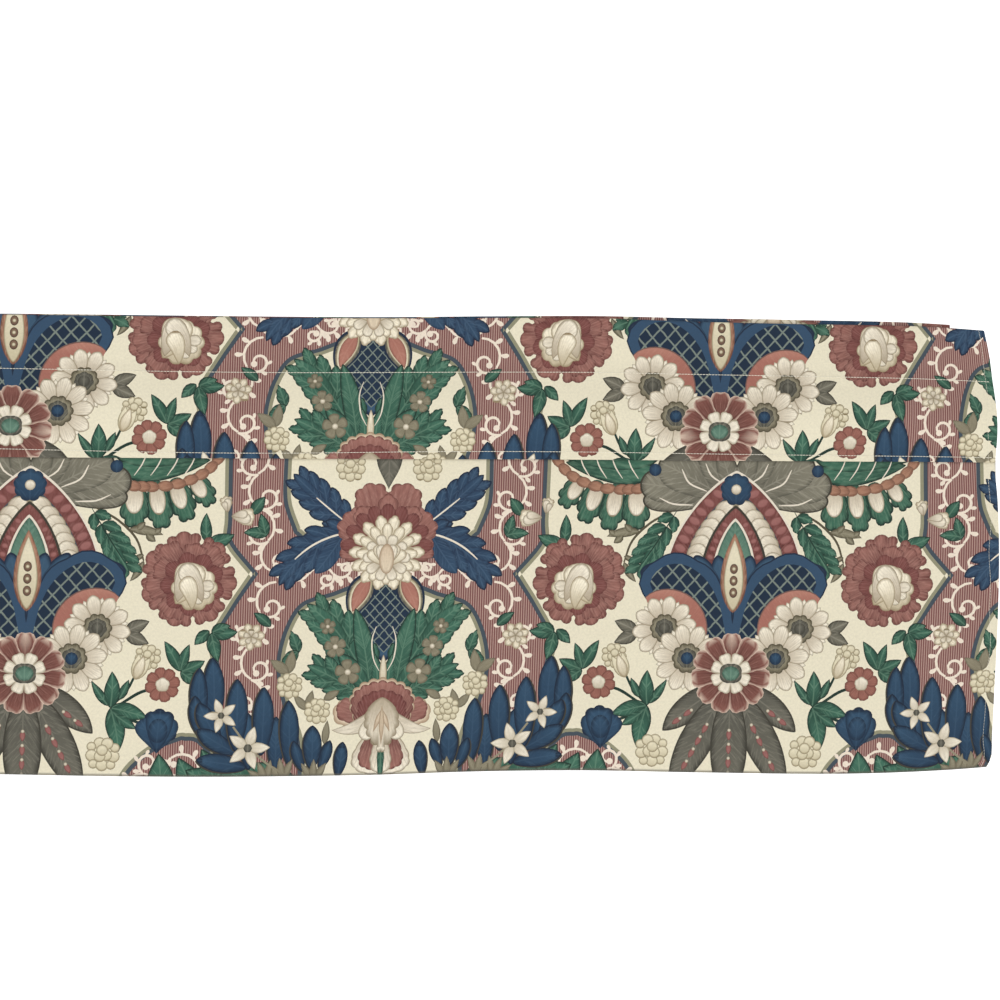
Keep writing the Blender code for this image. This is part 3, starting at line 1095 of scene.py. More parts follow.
# The stretch of the run on the back that is left plain inside the fold
PLAIN_FROM, PLAIN_TO = wrap.run[wrap.at_bottom + TURN_STEPS], wrap.run[wrap.at_top - 1]


def print_row(run):
    return np.interp(run, *zip(*ROW_KNOTS))


def print_shift(run):
    """How far to the right of its plain place the print is, in metres, at a run."""
    lean = SKEW * (print_row(np.minimum(run, wrap.bottom)) - AXIS_ROW) * MM
    band_lean = SKEW * (BAND_ROW + (np.maximum(run, wrap.top) - wrap.top) / MM - AXIS_ROW) * MM
    share = np.clip((run - wrap.bottom) / (wrap.top - wrap.bottom), 0.0, 1.0)
    return lean * (1.0 - share) + (band_lean + BAND_SHIFT) * share


def strip_place(u, run):
    """The place along the strip of a place of the print."""
    return AXIS_X + u * MM + print_shift(run)


def turned_in(past_end):
    """How far in from its end the strip's place is, and how far to its wrong side.

    past_end is measured along the strip from where the hem begins to turn.
    """
    angle = np.clip(past_end / HEM_RADIUS, 0.0, math.pi)
    beyond = np.maximum(past_end - HALF_TURN, 0.0)
    ahead = np.where(past_end < 0.0, past_end, HEM_RADIUS * np.sin(angle) - beyond)
    return ahead, HEM_RADIUS * (1.0 - np.cos(angle))


def in_space(along, run, lift_off=0.0):
    """Where a place of the strip is. lift_off is measured out from the printed side."""
    along, run = np.asarray(along, float), np.asarray(run, float)
    drop, depth, tilt, out_drop, out_depth = (
        np.interp(run, wrap.run, values)
        for values in (wrap.drop, wrap.depth, wrap.tilt, wrap.out_drop, wrap.out_depth)
    )
    front_ahead, front_in = turned_in(along - (FRONT_END_X - HEM_RADIUS))
    rear = FOLD_X + (FOLD_X - FOLD_RUN - along)
    rear_ahead, rear_in = turned_in(rear - (REAR_END_X - HEM_RADIUS))
    on_front = along >= FOLD_X
    on_rear = along <= FOLD_X - FOLD_RUN
    angle = math.pi * np.clip((FOLD_X - along) / FOLD_RUN, 0.0, 1.0)

    off = lift_off - np.where(on_front, front_in, 0.0) - np.where(on_rear, rear_in, 0.0)
    end_x = np.where(on_front, FRONT_END_X, REAR_END_X)
    flat_x = end_x - HEM_RADIUS + np.where(on_front, front_ahead, rear_ahead)
    near_end = np.clip(1.0 - (end_x - flat_x) / END_REACH, 0.0, 1.0) ** 2
    drawn = np.where(on_front, read_smoothly(FRONT_END, drop), read_smoothly(REAR_END, drop))
    flat_x = flat_x + near_end * drawn

    full_depth = depth + out_depth * off
    full_drop = drop + out_drop * off
    x = np.where(on_front | on_rear, flat_x, FOLD_X - full_depth * np.sin(angle))
    share = np.clip(drop / HEIGHT, 0.0, 1.0)
    lift = read_smoothly(TOP_EDGE, x) * (1.0 - share) ** TOP_FADE
    lift += read_smoothly(BOTTOM_EDGE, x) * share**BOTTOM_FADE
    lift += read_smoothly(REAR_PEEK, x) * angle / math.pi + tilt * x
    swing = sum(size * np.sin(math.tau * (x / length + phase)) for size, length, phase in SWAYS)
    curl = END_CURL * np.clip(1.0 - (FRONT_END_X - x) / CURL_REACH, 0.0, 1.0) ** 2
    y = -np.cos(angle) * full_depth + share**SWAY_POWER * (swing + curl)
    return np.stack((x, y, lift - full_drop), axis=-1)


# ------------ The strip of cloth ------------
ON_SIDE = 1e-3  # mm within which a line of the print lies along a column's side
SIDE_GAP = 0.01  # mm within which two columns' points on a side are one point
EDGE_GAP = 2e-6  # m within which a point is on an edge of the cloth
SHOWN_PAST = 0.02  # m past the front half's end that count as in sight


def cut_lines():
    """Places along the strip that must have points: around both hems and the fold."""
    hem_turn = np.linspace(0.0, HALF_TURN, HEM_STEPS + 1)
    front = FRONT_END_X - HEM_RADIUS + hem_turn
    rear = MIRROR - (REAR_END_X - HEM_RADIUS + hem_turn)
    fold = np.linspace(FOLD_X, FOLD_X - FOLD_RUN, FOLD_STEPS + 1)
    return [FIRST_END, LAST_END, *front, *rear, *fold]


def printed_segments(edges, lean):
    """The print's edges on each length of the strip, as (u, run in mm)."""
    found = []
    for (run, row), (next_run, next_row) in zip(ROW_KNOTS, ROW_KNOTS[1:]):
        low, high = sorted((row, next_row))
        part = clipped(edges, 1, low, high)
        scale = (next_run - run) / MM / (next_row - row)
        part = np.stack((part[..., 0], run / MM + (part[..., 1] - row) * scale), axis=-1)
        found.append(part)
    found = np.concatenate(found)
    if not lean:
        return found
    sides = (np.abs(found[..., 0]) < ON_SIDE).all(axis=1)
    sides |= (np.abs(found[..., 0] - HALF) < ON_SIDE).all(axis=1)
    before = clipped(found, 1, 0.0, PLAIN_FROM / MM)
    after = clipped(found, 1, PLAIN_TO / MM, wrap.end / MM)
    return np.concatenate((before, after, found[sides]))


def column_mesh(number, partition, finder, lean):
    """One half repeat of the strip: points (u, run), triangles and their labels."""
    segments = [printed_segments(partition.edges, lean)]
    end = wrap.end / MM
    for run in wrap.run / MM:
        segments.append([[(0.0, run), (HALF, run)]])
    for step in range(COLUMNS + 1):
        u = HALF * step / COLUMNS
        segments.append([[(u, 0.0), (u, end)]])
    for place in cut_lines():
        across = (place - AXIS_X - print_shift(wrap.run)) / MM - number * HALF
        u = HALF - across if number % 2 else across
        line = np.column_stack((u, wrap.run / MM))
        segments.append(clipped(np.stack((line[:-1], line[1:]), axis=1), 0, 0.0, HALF))
    segments = np.concatenate([np.asarray(part, float).reshape(-1, 2, 2) for part in segments])
    corners, ends = np.unique(np.round(segments.reshape(-1, 2), 3), axis=0, return_inverse=True)
    ends = ends.reshape(-1, 2)
    ends = ends[ends[:, 0] != ends[:, 1]]
    points, triangles, _ = constrained(corners, [tuple(map(int, pair)) for pair in ends])

    centres = points[triangles].mean(axis=1)
    rows = print_row(centres[:, 1] * MM)
    labels = np.full(len(triangles), GROUND)
    for index, (u, row) in enumerate(zip(centres[:, 0], rows)):
        if lean and PLAIN_FROM < centres[index, 1] * MM < PLAIN_TO:
            continue
        face = finder.ray_cast(Vector((u, row, 1.0)), Vector((0.0, 0.0, -1.0)))[2]
        if face is not None:
            labels[index] = partition.labels[face]
    return points, triangles, labels


def joined(parts):
    """Column meshes as one, with the points that two of them share made one."""
    points, triangles, labels, numbers = [], [], [], []
    offset = 0
    for number, (own_points, own_triangles, own_labels) in parts:
        u = HALF - own_points[:, 0] if number % 2 else own_points[:, 0]
        points.append(np.column_stack((u + number * HALF, own_points[:, 1])))
        triangles.append(own_triangles + offset)
        labels.append(own_labels)
        numbers.append(np.full(len(own_labels), number))
        offset += len(own_points)
    points = np.concatenate(points)
    triangles = np.concatenate(triangles)
    target = np.arange(len(points))
    nearest = np.round(points[:, 0] / HALF) * HALF
    on_side = np.flatnonzero(np.abs(points[:, 0] - nearest) < SIDE_GAP)
    order = on_side[np.lexsort((points[on_side, 1], nearest[on_side]))]
    for one, other in zip(order, order[1:]):
        level = abs(points[one, 1] - points[other, 1]) < SIDE_GAP
        if level and nearest[one] == nearest[other]:
            target[other] = target[one]
    triangles = target[triangles]
    return points, triangles, np.concatenate(labels), np.concatenate(numbers)


def printed_side(partition, flat_finder):
    """The whole strip's printed side: places (along, run), triangles, labels and columns."""
    first = math.floor((LAST_END - AXIS_X) / MM / HALF) - 1
    last = math.ceil((FIRST_END - AXIS_X) / MM / HALF) + 1
    parts = []
    for number in range(first, last):
        shifts = print_shift(wrap.run)
        low = strip_place(number * HALF, 0.0) + shifts.min() - shifts[0]
        high = strip_place((number + 1) * HALF, 0.0) + shifts.max() - shifts[0]
        if high < LAST_END or low > FIRST_END:
            continue
        in_sight = low < FRONT_END_X + SHOWN_PAST and high > REAR_END_X
        parts.append((number, column_mesh(number, partition, flat_finder, not in_sight)))
    points, triangles, labels, numbers = joined(parts)
    along = strip_place(points[:, 0], points[:, 1] * MM)
    centres = along[triangles].mean(axis=1)
    kept = (centres < FIRST_END) & (centres > LAST_END)
    triangles, labels, numbers = triangles[kept], labels[kept], numbers[kept]
    apart = (triangles != np.roll(triangles, 1, axis=1)).all(axis=1)
    triangles, labels, numbers = triangles[apart], labels[apart], numbers[apart]
    used, triangles = np.unique(triangles, return_inverse=True)
    triangles = triangles.reshape(-1, 3)
    places = np.column_stack((along[used], points[used, 1] * MM))
    return places, points[used], triangles, labels, numbers


def wrong_side():
    """A plain grid over the same strip: places (along, run) and its triangles."""
    gaps = sorted(cut_lines())
    alongs = [gaps[0]]
    for place in gaps[1:]:
        count = max(1, math.ceil((place - alongs[-1]) / COLUMN_PITCH))
        alongs.extend(np.linspace(alongs[-1], place, count + 1)[1:])
    alongs = np.array(alongs)
    columns, rows = len(alongs), len(wrap.run)
    places = np.stack(np.meshgrid(alongs, wrap.run), axis=-1).reshape(-1, 2)
    corner = (np.arange(rows - 1)[:, None] * columns + np.arange(columns - 1)).ravel()
    one = np.column_stack((corner, corner + 1, corner + columns + 1))
    two = np.column_stack((corner, corner + columns + 1, corner + columns))
    return places, np.vstack((one, two))


def edge_strip(outer, inner, outer_at, inner_at):
    """Triangles between two rows of points that run side by side along one edge."""
    outer = outer[np.argsort(outer_at)]
    outer_at = np.sort(outer_at)
    inner = inner[np.argsort(inner_at)]
    inner_at = np.sort(inner_at)
    triangles = []
    i = j = 0
    while i < len(outer) - 1 or j < len(inner) - 1:
        next_outer = outer_at[i + 1] if i < len(outer) - 1 else np.inf
        next_inner = inner_at[j + 1] if j < len(inner) - 1 else np.inf
        if next_outer <= next_inner:
            triangles.append((outer[i], outer[i + 1], inner[j]))
            i += 1
        else:
            triangles.append((outer[i], inner[j + 1], inner[j]))
            j += 1
    return triangles


def edge_strips(outer_places, inner_places, offset, low, high):
    """The edges of a length of cloth, which join its printed side to its wrong side."""
    triangles = []
    for axis, value in ((1, 0.0), (1, wrap.end), (0, low), (0, high)):
        other = 1 - axis
        rows = []
        for places in (outer_places, inner_places):
            on_edge = np.abs(places[:, axis] - value) < EDGE_GAP
            on_edge &= (places[:, 0] > low - EDGE_GAP) & (places[:, 0] < high + EDGE_GAP)
            rows.append(np.flatnonzero(on_edge))
        outer, inner = rows
        triangles += edge_strip(
            outer, inner + offset, outer_places[outer, other], inner_places[inner, other]
        )
    return np.array(triangles)


# ------------ Colours at the corners of the print's triangles ------------
EDGE_SHARE = 0.8  # of an ink's reach, over which its edge's colour fades
LEAST_EDGE = 0.6
EDGE_POWER = 0.8


def linear(colour):
    """A printing colour, given as it looks on a screen, as an amount of light."""
    share = np.array(colour, float) / 255.0
    return np.where(share <= 0.04045, share / 12.92, ((share + 0.055) / 1.055) ** 2.4)


def from_edge(points, outline):
    """How far points are from a closed outline."""
    starts = outline
    runs = np.roll(outline, -1, axis=0) - starts
    lengths = np.maximum((runs**2).sum(axis=1), NOTHING**2)
    nearest = np.full(len(points), np.inf)
    for start, run, length in zip(starts, runs, lengths):
        share = np.clip((points - start) @ run / length, 0.0, 1.0)
        gaps = points - start - share[:, None] * run
        nearest = np.minimum(nearest, (gaps**2).sum(axis=1))
    return np.sqrt(nearest)


def corner_paint(shapes, flat, labels, numbers):
    """Fill, line colour, pattern amounts and place in its shape for each corner."""
    u = flat[..., 0] - numbers[:, None] * HALF
    u = np.where(numbers[:, None] % 2 == 1, HALF - u, u)
    v = print_row(flat[..., 1] * MM)
    corners = np.stack((u, v), axis=-1)
    count = len(labels)
    fill, line = np.ones((count, 3, 4)), np.ones((count, 3, 4))
    style, place = np.zeros((count, 3, 4)), np.zeros((count, 3, 3))
    ground = INKS["ground"]
    fill[..., :3] = linear(ground.base)
    line[..., :3] = linear(ground.base)
    owners = np.where(labels < 0, GROUND, labels // 2)
    order = np.argsort(owners, kind="stable")
    bounds = np.searchsorted(owners[order], np.arange(len(shapes) + 1))
    for index, shape in enumerate(shapes):
        faces = order[bounds[index] : bounds[index + 1]]
        if not len(faces):
            continue
        own = INKS[shape.ink]
        points = corners[faces].reshape(-1, 2)
        along, across = local(shape, points)
        share = np.clip(along / shape.length, 0.0, 1.0)[:, None]
        colour = linear(own.base) * (1.0 - share) + linear(own.tip) * share
        if shape.core is not None:
            unique, inverse = np.unique(np.round(points, 2), axis=0, return_inverse=True)
            reach = max(EDGE_SHARE * own.reach, LEAST_EDGE)
            near = np.clip(from_edge(unique, shape.outline)[inverse.ravel()] / reach, 0.0, 1.0)
            near = near[:, None] ** EDGE_POWER
            colour = linear(own.edge) * (1.0 - near) + colour * near
        fill[faces, :, :3] = colour.reshape(-1, 3, 3)
        line[faces, :, :3] = linear(own.line)
        style[faces] = (own.hatch, own.vein, own.stripe, own.lattice)
        length = np.full(len(along), shape.length)
        place[faces] = np.column_stack((along, across, length)).reshape(-1, 3, 3)
    return fill, line, style, place


# ------------ Materials ------------
class Value:
    """A node's output, which the signs of arithmetic lead on to further nodes."""

    def __init__(self, sums, socket):
        self.sums = sums
        self.socket = socket

    def __add__(self, other):
        return self.sums.math("ADD", self, other)

    def __sub__(self, other):
        return self.sums.math("SUBTRACT", self, other)

    def __rsub__(self, other):
        return self.sums.math("SUBTRACT", other, self)

    def __mul__(self, other):
        return self.sums.math("MULTIPLY", self, other)

    def __truediv__(self, other):
        return self.sums.math("DIVIDE", self, other)

    def __rtruediv__(self, other):
        return self.sums.math("DIVIDE", other, self)

    def __abs__(self):
        return self.sums.math("ABSOLUTE", self)


class Sums:
    """Adds nodes to a material or a world, with numbers and values given alike."""

    def __init__(self, owner):
        self.tree = owner.node_tree

    def node(self, kind, **settings):
        made = self.tree.nodes.new(kind)
        for name, value in settings.items():
            setattr(made, name, value)
        return made

    def feed(self, socket, value):
        if isinstance(value, Value):
            self.tree.links.new(value.socket, socket)
        else:
            socket.default_value = value

    def made(self, kind, output, inputs, **settings):
        """A new node's output, once its inputs are fed."""
        node = self.node(kind, **settings)
        for name, value in inputs.items():
            self.feed(node.inputs[name], value)
        return Value(self, node.outputs[output])

    def math(self, operation, *values):
        inputs = dict(enumerate(values))
        return self.made("ShaderNodeMath", 0, inputs, operation=operation)

    def sine(self, value):
        return self.math("SINE", value)

    def step(self, value, low, high):
        """0 below low, 1 above high and smooth between."""
        inputs = {"Value": value, "From Min": low, "From Max": high}
        return self.made("ShaderNodeMapRange", "Result", inputs, interpolation_type="SMOOTHSTEP")

    def mix(self, share, one, other, blend="MIX"):
        settings = {"data_type": "RGBA", "blend_type": blend}
        inputs = {"Factor": share, "A": one, "B": other}
        return self.made("ShaderNodeMix", "Result", inputs, **settings)

    def noise(self, vector, kind):
        scale, detail, roughness = NOISES[kind]
        inputs = {"Vector": vector, "Scale": scale, "Detail": detail, "Roughness": roughness}
        return self.made("ShaderNodeTexNoise", "Fac", inputs)

    def streaks(self, fine, slow, seed, pace):
        """Noise drawn out like brush strokes: quick in one direction and slow in another."""
        inputs = {0: fine, 1: slow * pace, 2: seed * SEED_PACE}
        return self.noise(self.made("ShaderNodeCombineXYZ", 0, inputs), "strokes")

    def attribute(self, name, output="Color"):
        return self.made("ShaderNodeAttribute", output, {}, attribute_name=name)

    def split(self, value, kind="XYZ"):
        node = self.node("ShaderNodeSeparate" + kind)
        self.feed(node.inputs[0], value)
        return [Value(self, output) for output in node.outputs]

    def bump(self, height, kind, **inputs):
        strength, distance = BUMPS[kind]
        inputs |= {"Height": height, "Strength": strength, "Distance": distance}
        return self.made("ShaderNodeBump", "Normal", inputs)


def named_material(name):
    material = bpy.data.materials.new(name)
    material.use_nodes = True
    return material, material.node_tree.nodes["Principled BSDF"].inputs, Sums(material)


NOISES = {  # scale, detail and roughness
    "slubs": (900.0, 3.0, 0.5),
    "creases": (14.0, 3.0, 0.45),
    "gathers": (95.0, 2.0, 0.5),
    "waver": (160.0, 2.0, 0.5),
    "strokes": (1.0, 3.0, 0.6),
    "patches": (420.0, 4.0, 0.7),
    "broad_blotches": (7.0, 3.0, 0.5),
    "ghosts": (26.0, 3.0, 0.5),
    "tints": (11.0, 2.0, 0.5),
    "fibres": (700.0, 2.0, 0.5),
    "paper": (60.0, 3.0, 0.5),
}
BUMPS = {  # strength and height
    "weave": (0.25, 0.00008),
    "cloth": (0.5, 0.0016),
    "plies": (0.4, 0.00006),
}

# The fine drawing within the shapes of the print
SEED_PACE = 3.7  # keeps the strokes of one shape unlike another's
WAVER = 3.0  # unsteadiness of the drawn lines
FOOT = 0.35  # hatching spreads from this share of a shape's length behind its base
RAYS = 96.0  # how close the hatching is, for each unit of its slope
RAY_STROKES, RAY_PACE, RAY_EDGE = 26.0, 0.09, (0.42, 0.7)
RAY_AMOUNT, RAY_STROKE_AMOUNT = 0.28, 0.75
VEIN_SLANT = 1.25
VEIN_STROKES, VEIN_PACE, VEIN_EDGE = 0.34, 0.10, (0.46, 0.72)
VEIN_AMOUNT, MIDRIB_AMOUNT = 0.9, 0.7
MIDRIB = (0.3, 1.1)  # half its width in millimetres, full and faded
STRIPE_PITCH, STRIPE_EDGE = 2.3, (0.0, 0.8)
NET_MESH = 21.7
NET_LEAN = 1.1
NET_WAVER = 0.8
NET_LINE = (0.13, 0.32)

# The cotton
THREADS_PER_METRE = 2200.0
SHEEN, SHEEN_ROUGH, SPECULAR = 0.05, 0.5, 0.2
PRINT_SHADE = 0.90
PATCHES, RAISED_THREAD_LIGHT, BROAD_TONE_AMOUNT = 0.14, 0.035, 0.09  # how much each of them lightens or darkens it: the print's patchy ink, painted light on the weave's raised threads, and a broad random lighter and darker tone
PATCH_EDGE = (0.25, 0.75)
CREASES = 0.9
ROUGH, PATCH_ROUGH = 0.66, 0.16
BOTTOM_FOLD_SHADE = (0.10, 0.094, 0.076, 1.0)  # painted shade along the bottom fold: the grey its colour is mixed towards, darkening light inks and lightening dark ones
BOTTOM_FOLD_SHADE_AMOUNT = 0.70
BOTTOM_FOLD_SHADE_REACH = (0.0012, 0.0036)
PUCKER_REACH = (0.0008, 0.0110)
WRONG_SIDE = (0.74, 0.70, 0.56, 1.0)
GHOSTS = ((0.50, 0.43, 0.38, 1.0), (0.42, 0.46, 0.44, 1.0))  # of the print, seen through it
GHOST_AMOUNT, GHOST_EDGE = 0.55, (0.42, 0.62)
REVERSE_ROUGH, GHOST_ROUGH = 0.78, 0.1
PLIES_PER_METRE = 1400.0
PLY_SHADE, PLY_EDGE = 0.25, (0.1, 0.9)
THREAD_ROUGH, PLY_ROUGH = 0.5, 0.15
THREAD_COLOURS = ((0.72, 0.67, 0.53, 1.0), (0.92, 0.89, 0.78, 1.0))


def weave(sums):
    """The cloth's place, the run down it and the height of its plain weave."""
    place = sums.attribute("cloth_place", "Vector")
    along, run, _ = sums.split(place)
    turns = math.tau * THREADS_PER_METRE / 2.0
    crossing = sums.sine(along * turns) * sums.sine(run * turns)
    return place, run, crossing + sums.noise(place, "slubs")


def finish_cloth(sums, shader, place, run, height):
    """The weave, puckers and soft creases as bumps, and the cotton's slight sheen."""
    shader["Sheen Weight"].default_value = SHEEN
    shader["Sheen Roughness"].default_value = SHEEN_ROUGH
    shader["Specular IOR Level"].default_value = SPECULAR
    fine = sums.bump(height, "weave")
    near = [1.0 - sums.step(abs(run - row), *PUCKER_REACH) for row in STITCH_RUNS]
    gathers = sums.noise(place, "gathers") * sums.math("MAXIMUM", *near)
    creases = sums.noise(place, "creases") * CREASES
    broad = sums.bump(gathers + creases, "cloth", Normal=fine)
    sums.feed(shader["Normal"], broad)


def fine_drawing(sums, waver):
    """The four patterns that an ink's styles are amounts of."""
    along, across, length = sums.split(sums.attribute("ink_place", "Vector"))
    slope = across / sums.math("MAXIMUM", along + length * FOOT, 1.0)
    rays = sums.step(sums.sine(slope * RAYS + waver), 0.0, 1.0)
    brushed = sums.step(sums.streaks(slope * RAY_STROKES, along, length, RAY_PACE), *RAY_EDGE)
    hatch = rays * RAY_AMOUNT + brushed * RAY_STROKE_AMOUNT

    side = abs(across)
    chevron = (along - side * VEIN_SLANT) * VEIN_STROKES
    brushed = sums.step(sums.streaks(chevron, side, length, VEIN_PACE), *VEIN_EDGE)
    midrib = 1.0 - sums.step(side, *MIDRIB)
    veins = sums.math("MAXIMUM", brushed * VEIN_AMOUNT, midrib * MIDRIB_AMOUNT)

    stripes = sums.step(sums.sine(across * (math.tau / STRIPE_PITCH)), *STRIPE_EDGE)

    mesh = NET_MESH / length
    slants = [along + across * lean + waver * NET_WAVER for lean in (NET_LEAN, -NET_LEAN)]
    nearest = sums.math("MINIMUM", *(abs(sums.sine(slant * mesh)) for slant in slants))
    return hatch, veins, stripes, 1.0 - sums.step(nearest, *NET_LINE)


def print_material():
    """Printed cotton: inks from the corners, fine drawing and weave from the nodes."""
    material, shader, sums = named_material("printed_cotton")
    place, run, height = weave(sums)
    patterns = fine_drawing(sums, sums.noise(place, "waver") * WAVER)
    hatch, vein, stripe = sums.split(sums.attribute("ink_style"), "Color")
    amounts = (hatch, vein, stripe, sums.attribute("ink_style", "Alpha"))
    first, *others = (pattern * amount for pattern, amount in zip(patterns, amounts))
    drawn = sum(others, first)
    colour = sums.mix(drawn, sums.attribute("ink_fill"), sums.attribute("ink_line"))

    patchy = sums.step(sums.noise(place, "patches"), *PATCH_EDGE)
    # A broad random tone, lighter and darker over wide areas of the cloth.
    broad_tone = sums.noise(place, "broad_blotches") - 0.5
    # The weave's raised threads are made lighter here: painted light.
    shade = patchy * PATCHES + PRINT_SHADE + height * RAISED_THREAD_LIGHT + broad_tone * BROAD_TONE_AMOUNT
    grey = sums.made("ShaderNodeCombineColor", 0, dict.fromkeys(range(3), shade))
    colour = sums.mix(1.0, colour, grey, "MULTIPLY")
    # Painted shade along the bottom fold: near its turn the colour is mixed towards a grey.
    fold_shade = (1.0 - sums.step(abs(run - wrap.bottom), *BOTTOM_FOLD_SHADE_REACH)) * BOTTOM_FOLD_SHADE_AMOUNT
    sums.feed(shader["Base Color"], sums.mix(fold_shade, colour, BOTTOM_FOLD_SHADE))
    sums.feed(shader["Roughness"], patchy * PATCH_ROUGH + ROUGH)
    finish_cloth(sums, shader, place, run, height)
    return material


def reverse_material():
    """The wrong side of the cotton, where the print shows through only faintly."""
    material, shader, sums = named_material("cotton_wrong_side")
    place, run, height = weave(sums)
    ghost = sums.step(sums.noise(place, "ghosts"), *GHOST_EDGE)
    tint = sums.mix(sums.noise(place, "tints"), *GHOSTS)
    sums.feed(shader["Base Color"], sums.mix(ghost * GHOST_AMOUNT, WRONG_SIDE, tint))
    sums.feed(shader["Roughness"], ghost * GHOST_ROUGH + REVERSE_ROUGH)
    finish_cloth(sums, shader, place, run, height)
    return material


def thread_material():
    """Cream sewing thread, twisted from two plies."""
    material, shader, sums = named_material("cream_thread")
    at = sums.made("ShaderNodeTexCoord", "Object", {})
    x, _, z = sums.split(at)
    ply = sums.sine((x + z) * (math.tau * PLIES_PER_METRE))
    # The grooves of the twist between the plies are painted darker: painted shade. The fibres' noise is the
    # thread's own uneven colour.
    shade = ply * PLY_SHADE + sums.noise(at, "fibres")
    sums.feed(shader["Base Color"], sums.mix(sums.step(shade, *PLY_EDGE), *THREAD_COLOURS))
    sums.feed(shader["Roughness"], shade * PLY_ROUGH + THREAD_ROUGH)
    sums.feed(shader["Normal"], sums.bump(ply, "plies"))
    return material


# ------------ Pieces ------------
STITCH_ROWS = (  # the rows across the band: drop, and rows (X, how far down from it)
    (HEADER, ((-0.505, -0.0005), (-0.16, 0.0014), (0.0, 0.0), (0.35, -0.0007), (0.56, 0.0008))),
    (
        HEADER + POCKET,
        ((-0.505, -0.0010), (-0.16, 0.0017), (0.0, -0.0008), (0.35, -0.0004), (0.56, 0.0002)),
    ),
)
STITCH_RUNS = [wrap.on_band(drop) for drop, _ in STITCH_ROWS]
HEM_STITCH = 0.0082  # from the end's fold
HEM_WOBBLE = ((0.0011, 41.0, 0.0), (0.0007, 97.0, 1.0))  # size, pace down the cloth and phase
STITCH_PITCH = 0.0031
STITCH_LENGTH = 0.0029
THREAD = 0.00034  # its radius
HEM_THREAD = 0.00016  # a finer thread
STITCH_SHAPE = (  # share along, height above the cloth and radius, in thread radii
    (0.00, -0.6, 0.35),
    (0.14, 0.5, 0.90),
    (0.50, 0.8, 1.00),
    (0.86, 0.5, 0.90),
    (1.00, -0.6, 0.35),
)
THREAD_SIDES = 6
LINE_MARGIN = 0.001  # what a row of stitches leaves free at its ends
ROW_POINTS = 500
HEM_POINTS = 400
PROBE = 1e-4  # how far off the cloth its outward direction is read
TINY = 1e-20
PLAIN_INK = 0.5  # on the corners that have no print
MAP_MARGIN = 0.005
MAP_WIDTH = 0.99
MAP_PRINTED = 0.83  # height of the printed side's part of the map
MAP_REST = (0.845, 0.15)  # foot and height of the wrong side's


def new_object(name, points, triangles):
    mesh = bpy.data.meshes.new(name)
    mesh.from_pydata(points.tolist(), [], triangles.tolist())
    mesh.polygons.foreach_set("use_smooth", [True] * len(mesh.polygons))
    mesh.update()
    made = bpy.data.objects.new(name, mesh)
    bpy.context.scene.collection.objects.link(made)
    return made


def unit(vectors):
    return vectors / np.maximum(np.linalg.norm(vectors, axis=-1, keepdims=True), TINY)


def point_normals(points, triangles):
    """The direction out of the surface at each point, from all the faces round it."""
    one, two, three = (points[triangles[:, corner]] for corner in range(3))
    areas = np.cross(two - one, three - one)
    normals = np.zeros_like(points)
    for corner in range(3):
        np.add.at(normals, triangles[:, corner], areas)
    return unit(normals)


def make_cloth():
    """The whole cloth, as one mesh for each half of it."""
    partition = cut_print(art.shapes)
    flat_points = [(u, v, 0.0) for u, v in partition.points]
    finder = BVHTree.FromPolygons(flat_points, partition.triangles.tolist())
    places, flat, triangles, labels, numbers = printed_side(partition, finder)
    wrong_places, wrong_triangles = wrong_side()

    across = places[triangles]
    one, other = across[:, 1] - across[:, 0], across[:, 2] - across[:, 0]
    turned = one[:, 0] * other[:, 1] - one[:, 1] * other[:, 0] > 0.0
    triangles[turned] = triangles[turned][:, ::-1]
    printed_points = in_space(*places.T, CLOTH / 2.0)
    points = np.vstack((printed_points, in_space(*wrong_places.T, -CLOTH / 2.0)))
    all_places = np.vstack((places, wrong_places))
    faces = np.vstack((triangles, wrong_triangles + len(places)))
    normals = point_normals(points, faces)
    paint = corner_paint(art.shapes, flat[triangles], labels, numbers)
    materials = (print_material(), reverse_material())
    middles = all_places[faces, 0].mean(axis=1)
    for name, low, high in (
        ("printed_cloth_front", FOLD_MIDDLE, FIRST_END),
        ("printed_cloth_rear", LAST_END, FOLD_MIDDLE),
    ):
        own = (middles > low) & (middles < high)
        edges = edge_strips(places, wrong_places, len(places), low, high)
        used, own_faces = np.unique(np.vstack((faces[own], edges)), return_inverse=True)
        own_faces = own_faces.reshape(-1, 3)
        piece = new_object(name, points[used], own_faces)
        own_paint = [values[own[: len(triangles)]] for values in paint]
        set_paint(piece.data, own_paint, all_places[used])
        printed = len(own_paint[0])
        bake_map(piece.data, all_places[used][own_faces], printed, low, high)
        for material in materials:
            piece.data.materials.append(material)
        slots = (np.arange(len(own_faces)) >= printed).astype(np.int32)
        piece.data.polygons.foreach_set("material_index", slots)
        piece.data.normals_split_custom_set_from_vertices(normals[used].tolist())
        yield piece


def set_paint(mesh, paint, places):
    """Gives a length of cloth its inks at the corners and its place on the strip."""
    for name, values in zip(("ink_fill", "ink_line", "ink_style", "ink_place"), paint):
        padding = np.zeros((len(mesh.polygons) - len(values), *values.shape[1:]))
        padding[..., :3] = PLAIN_INK
        whole = np.vstack((values, padding)).astype(np.float32).ravel()
        if values.shape[-1] == 4:
            mesh.attributes.new(name, "FLOAT_COLOR", "CORNER").data.foreach_set("color", whole)
        else:
            mesh.attributes.new(name, "FLOAT_VECTOR", "CORNER").data.foreach_set("vector", whole)
    at = mesh.attributes.new("cloth_place", "FLOAT_VECTOR", "POINT")
    at.data.foreach_set("vector", np.column_stack((places, np.zeros(len(places)))).ravel())


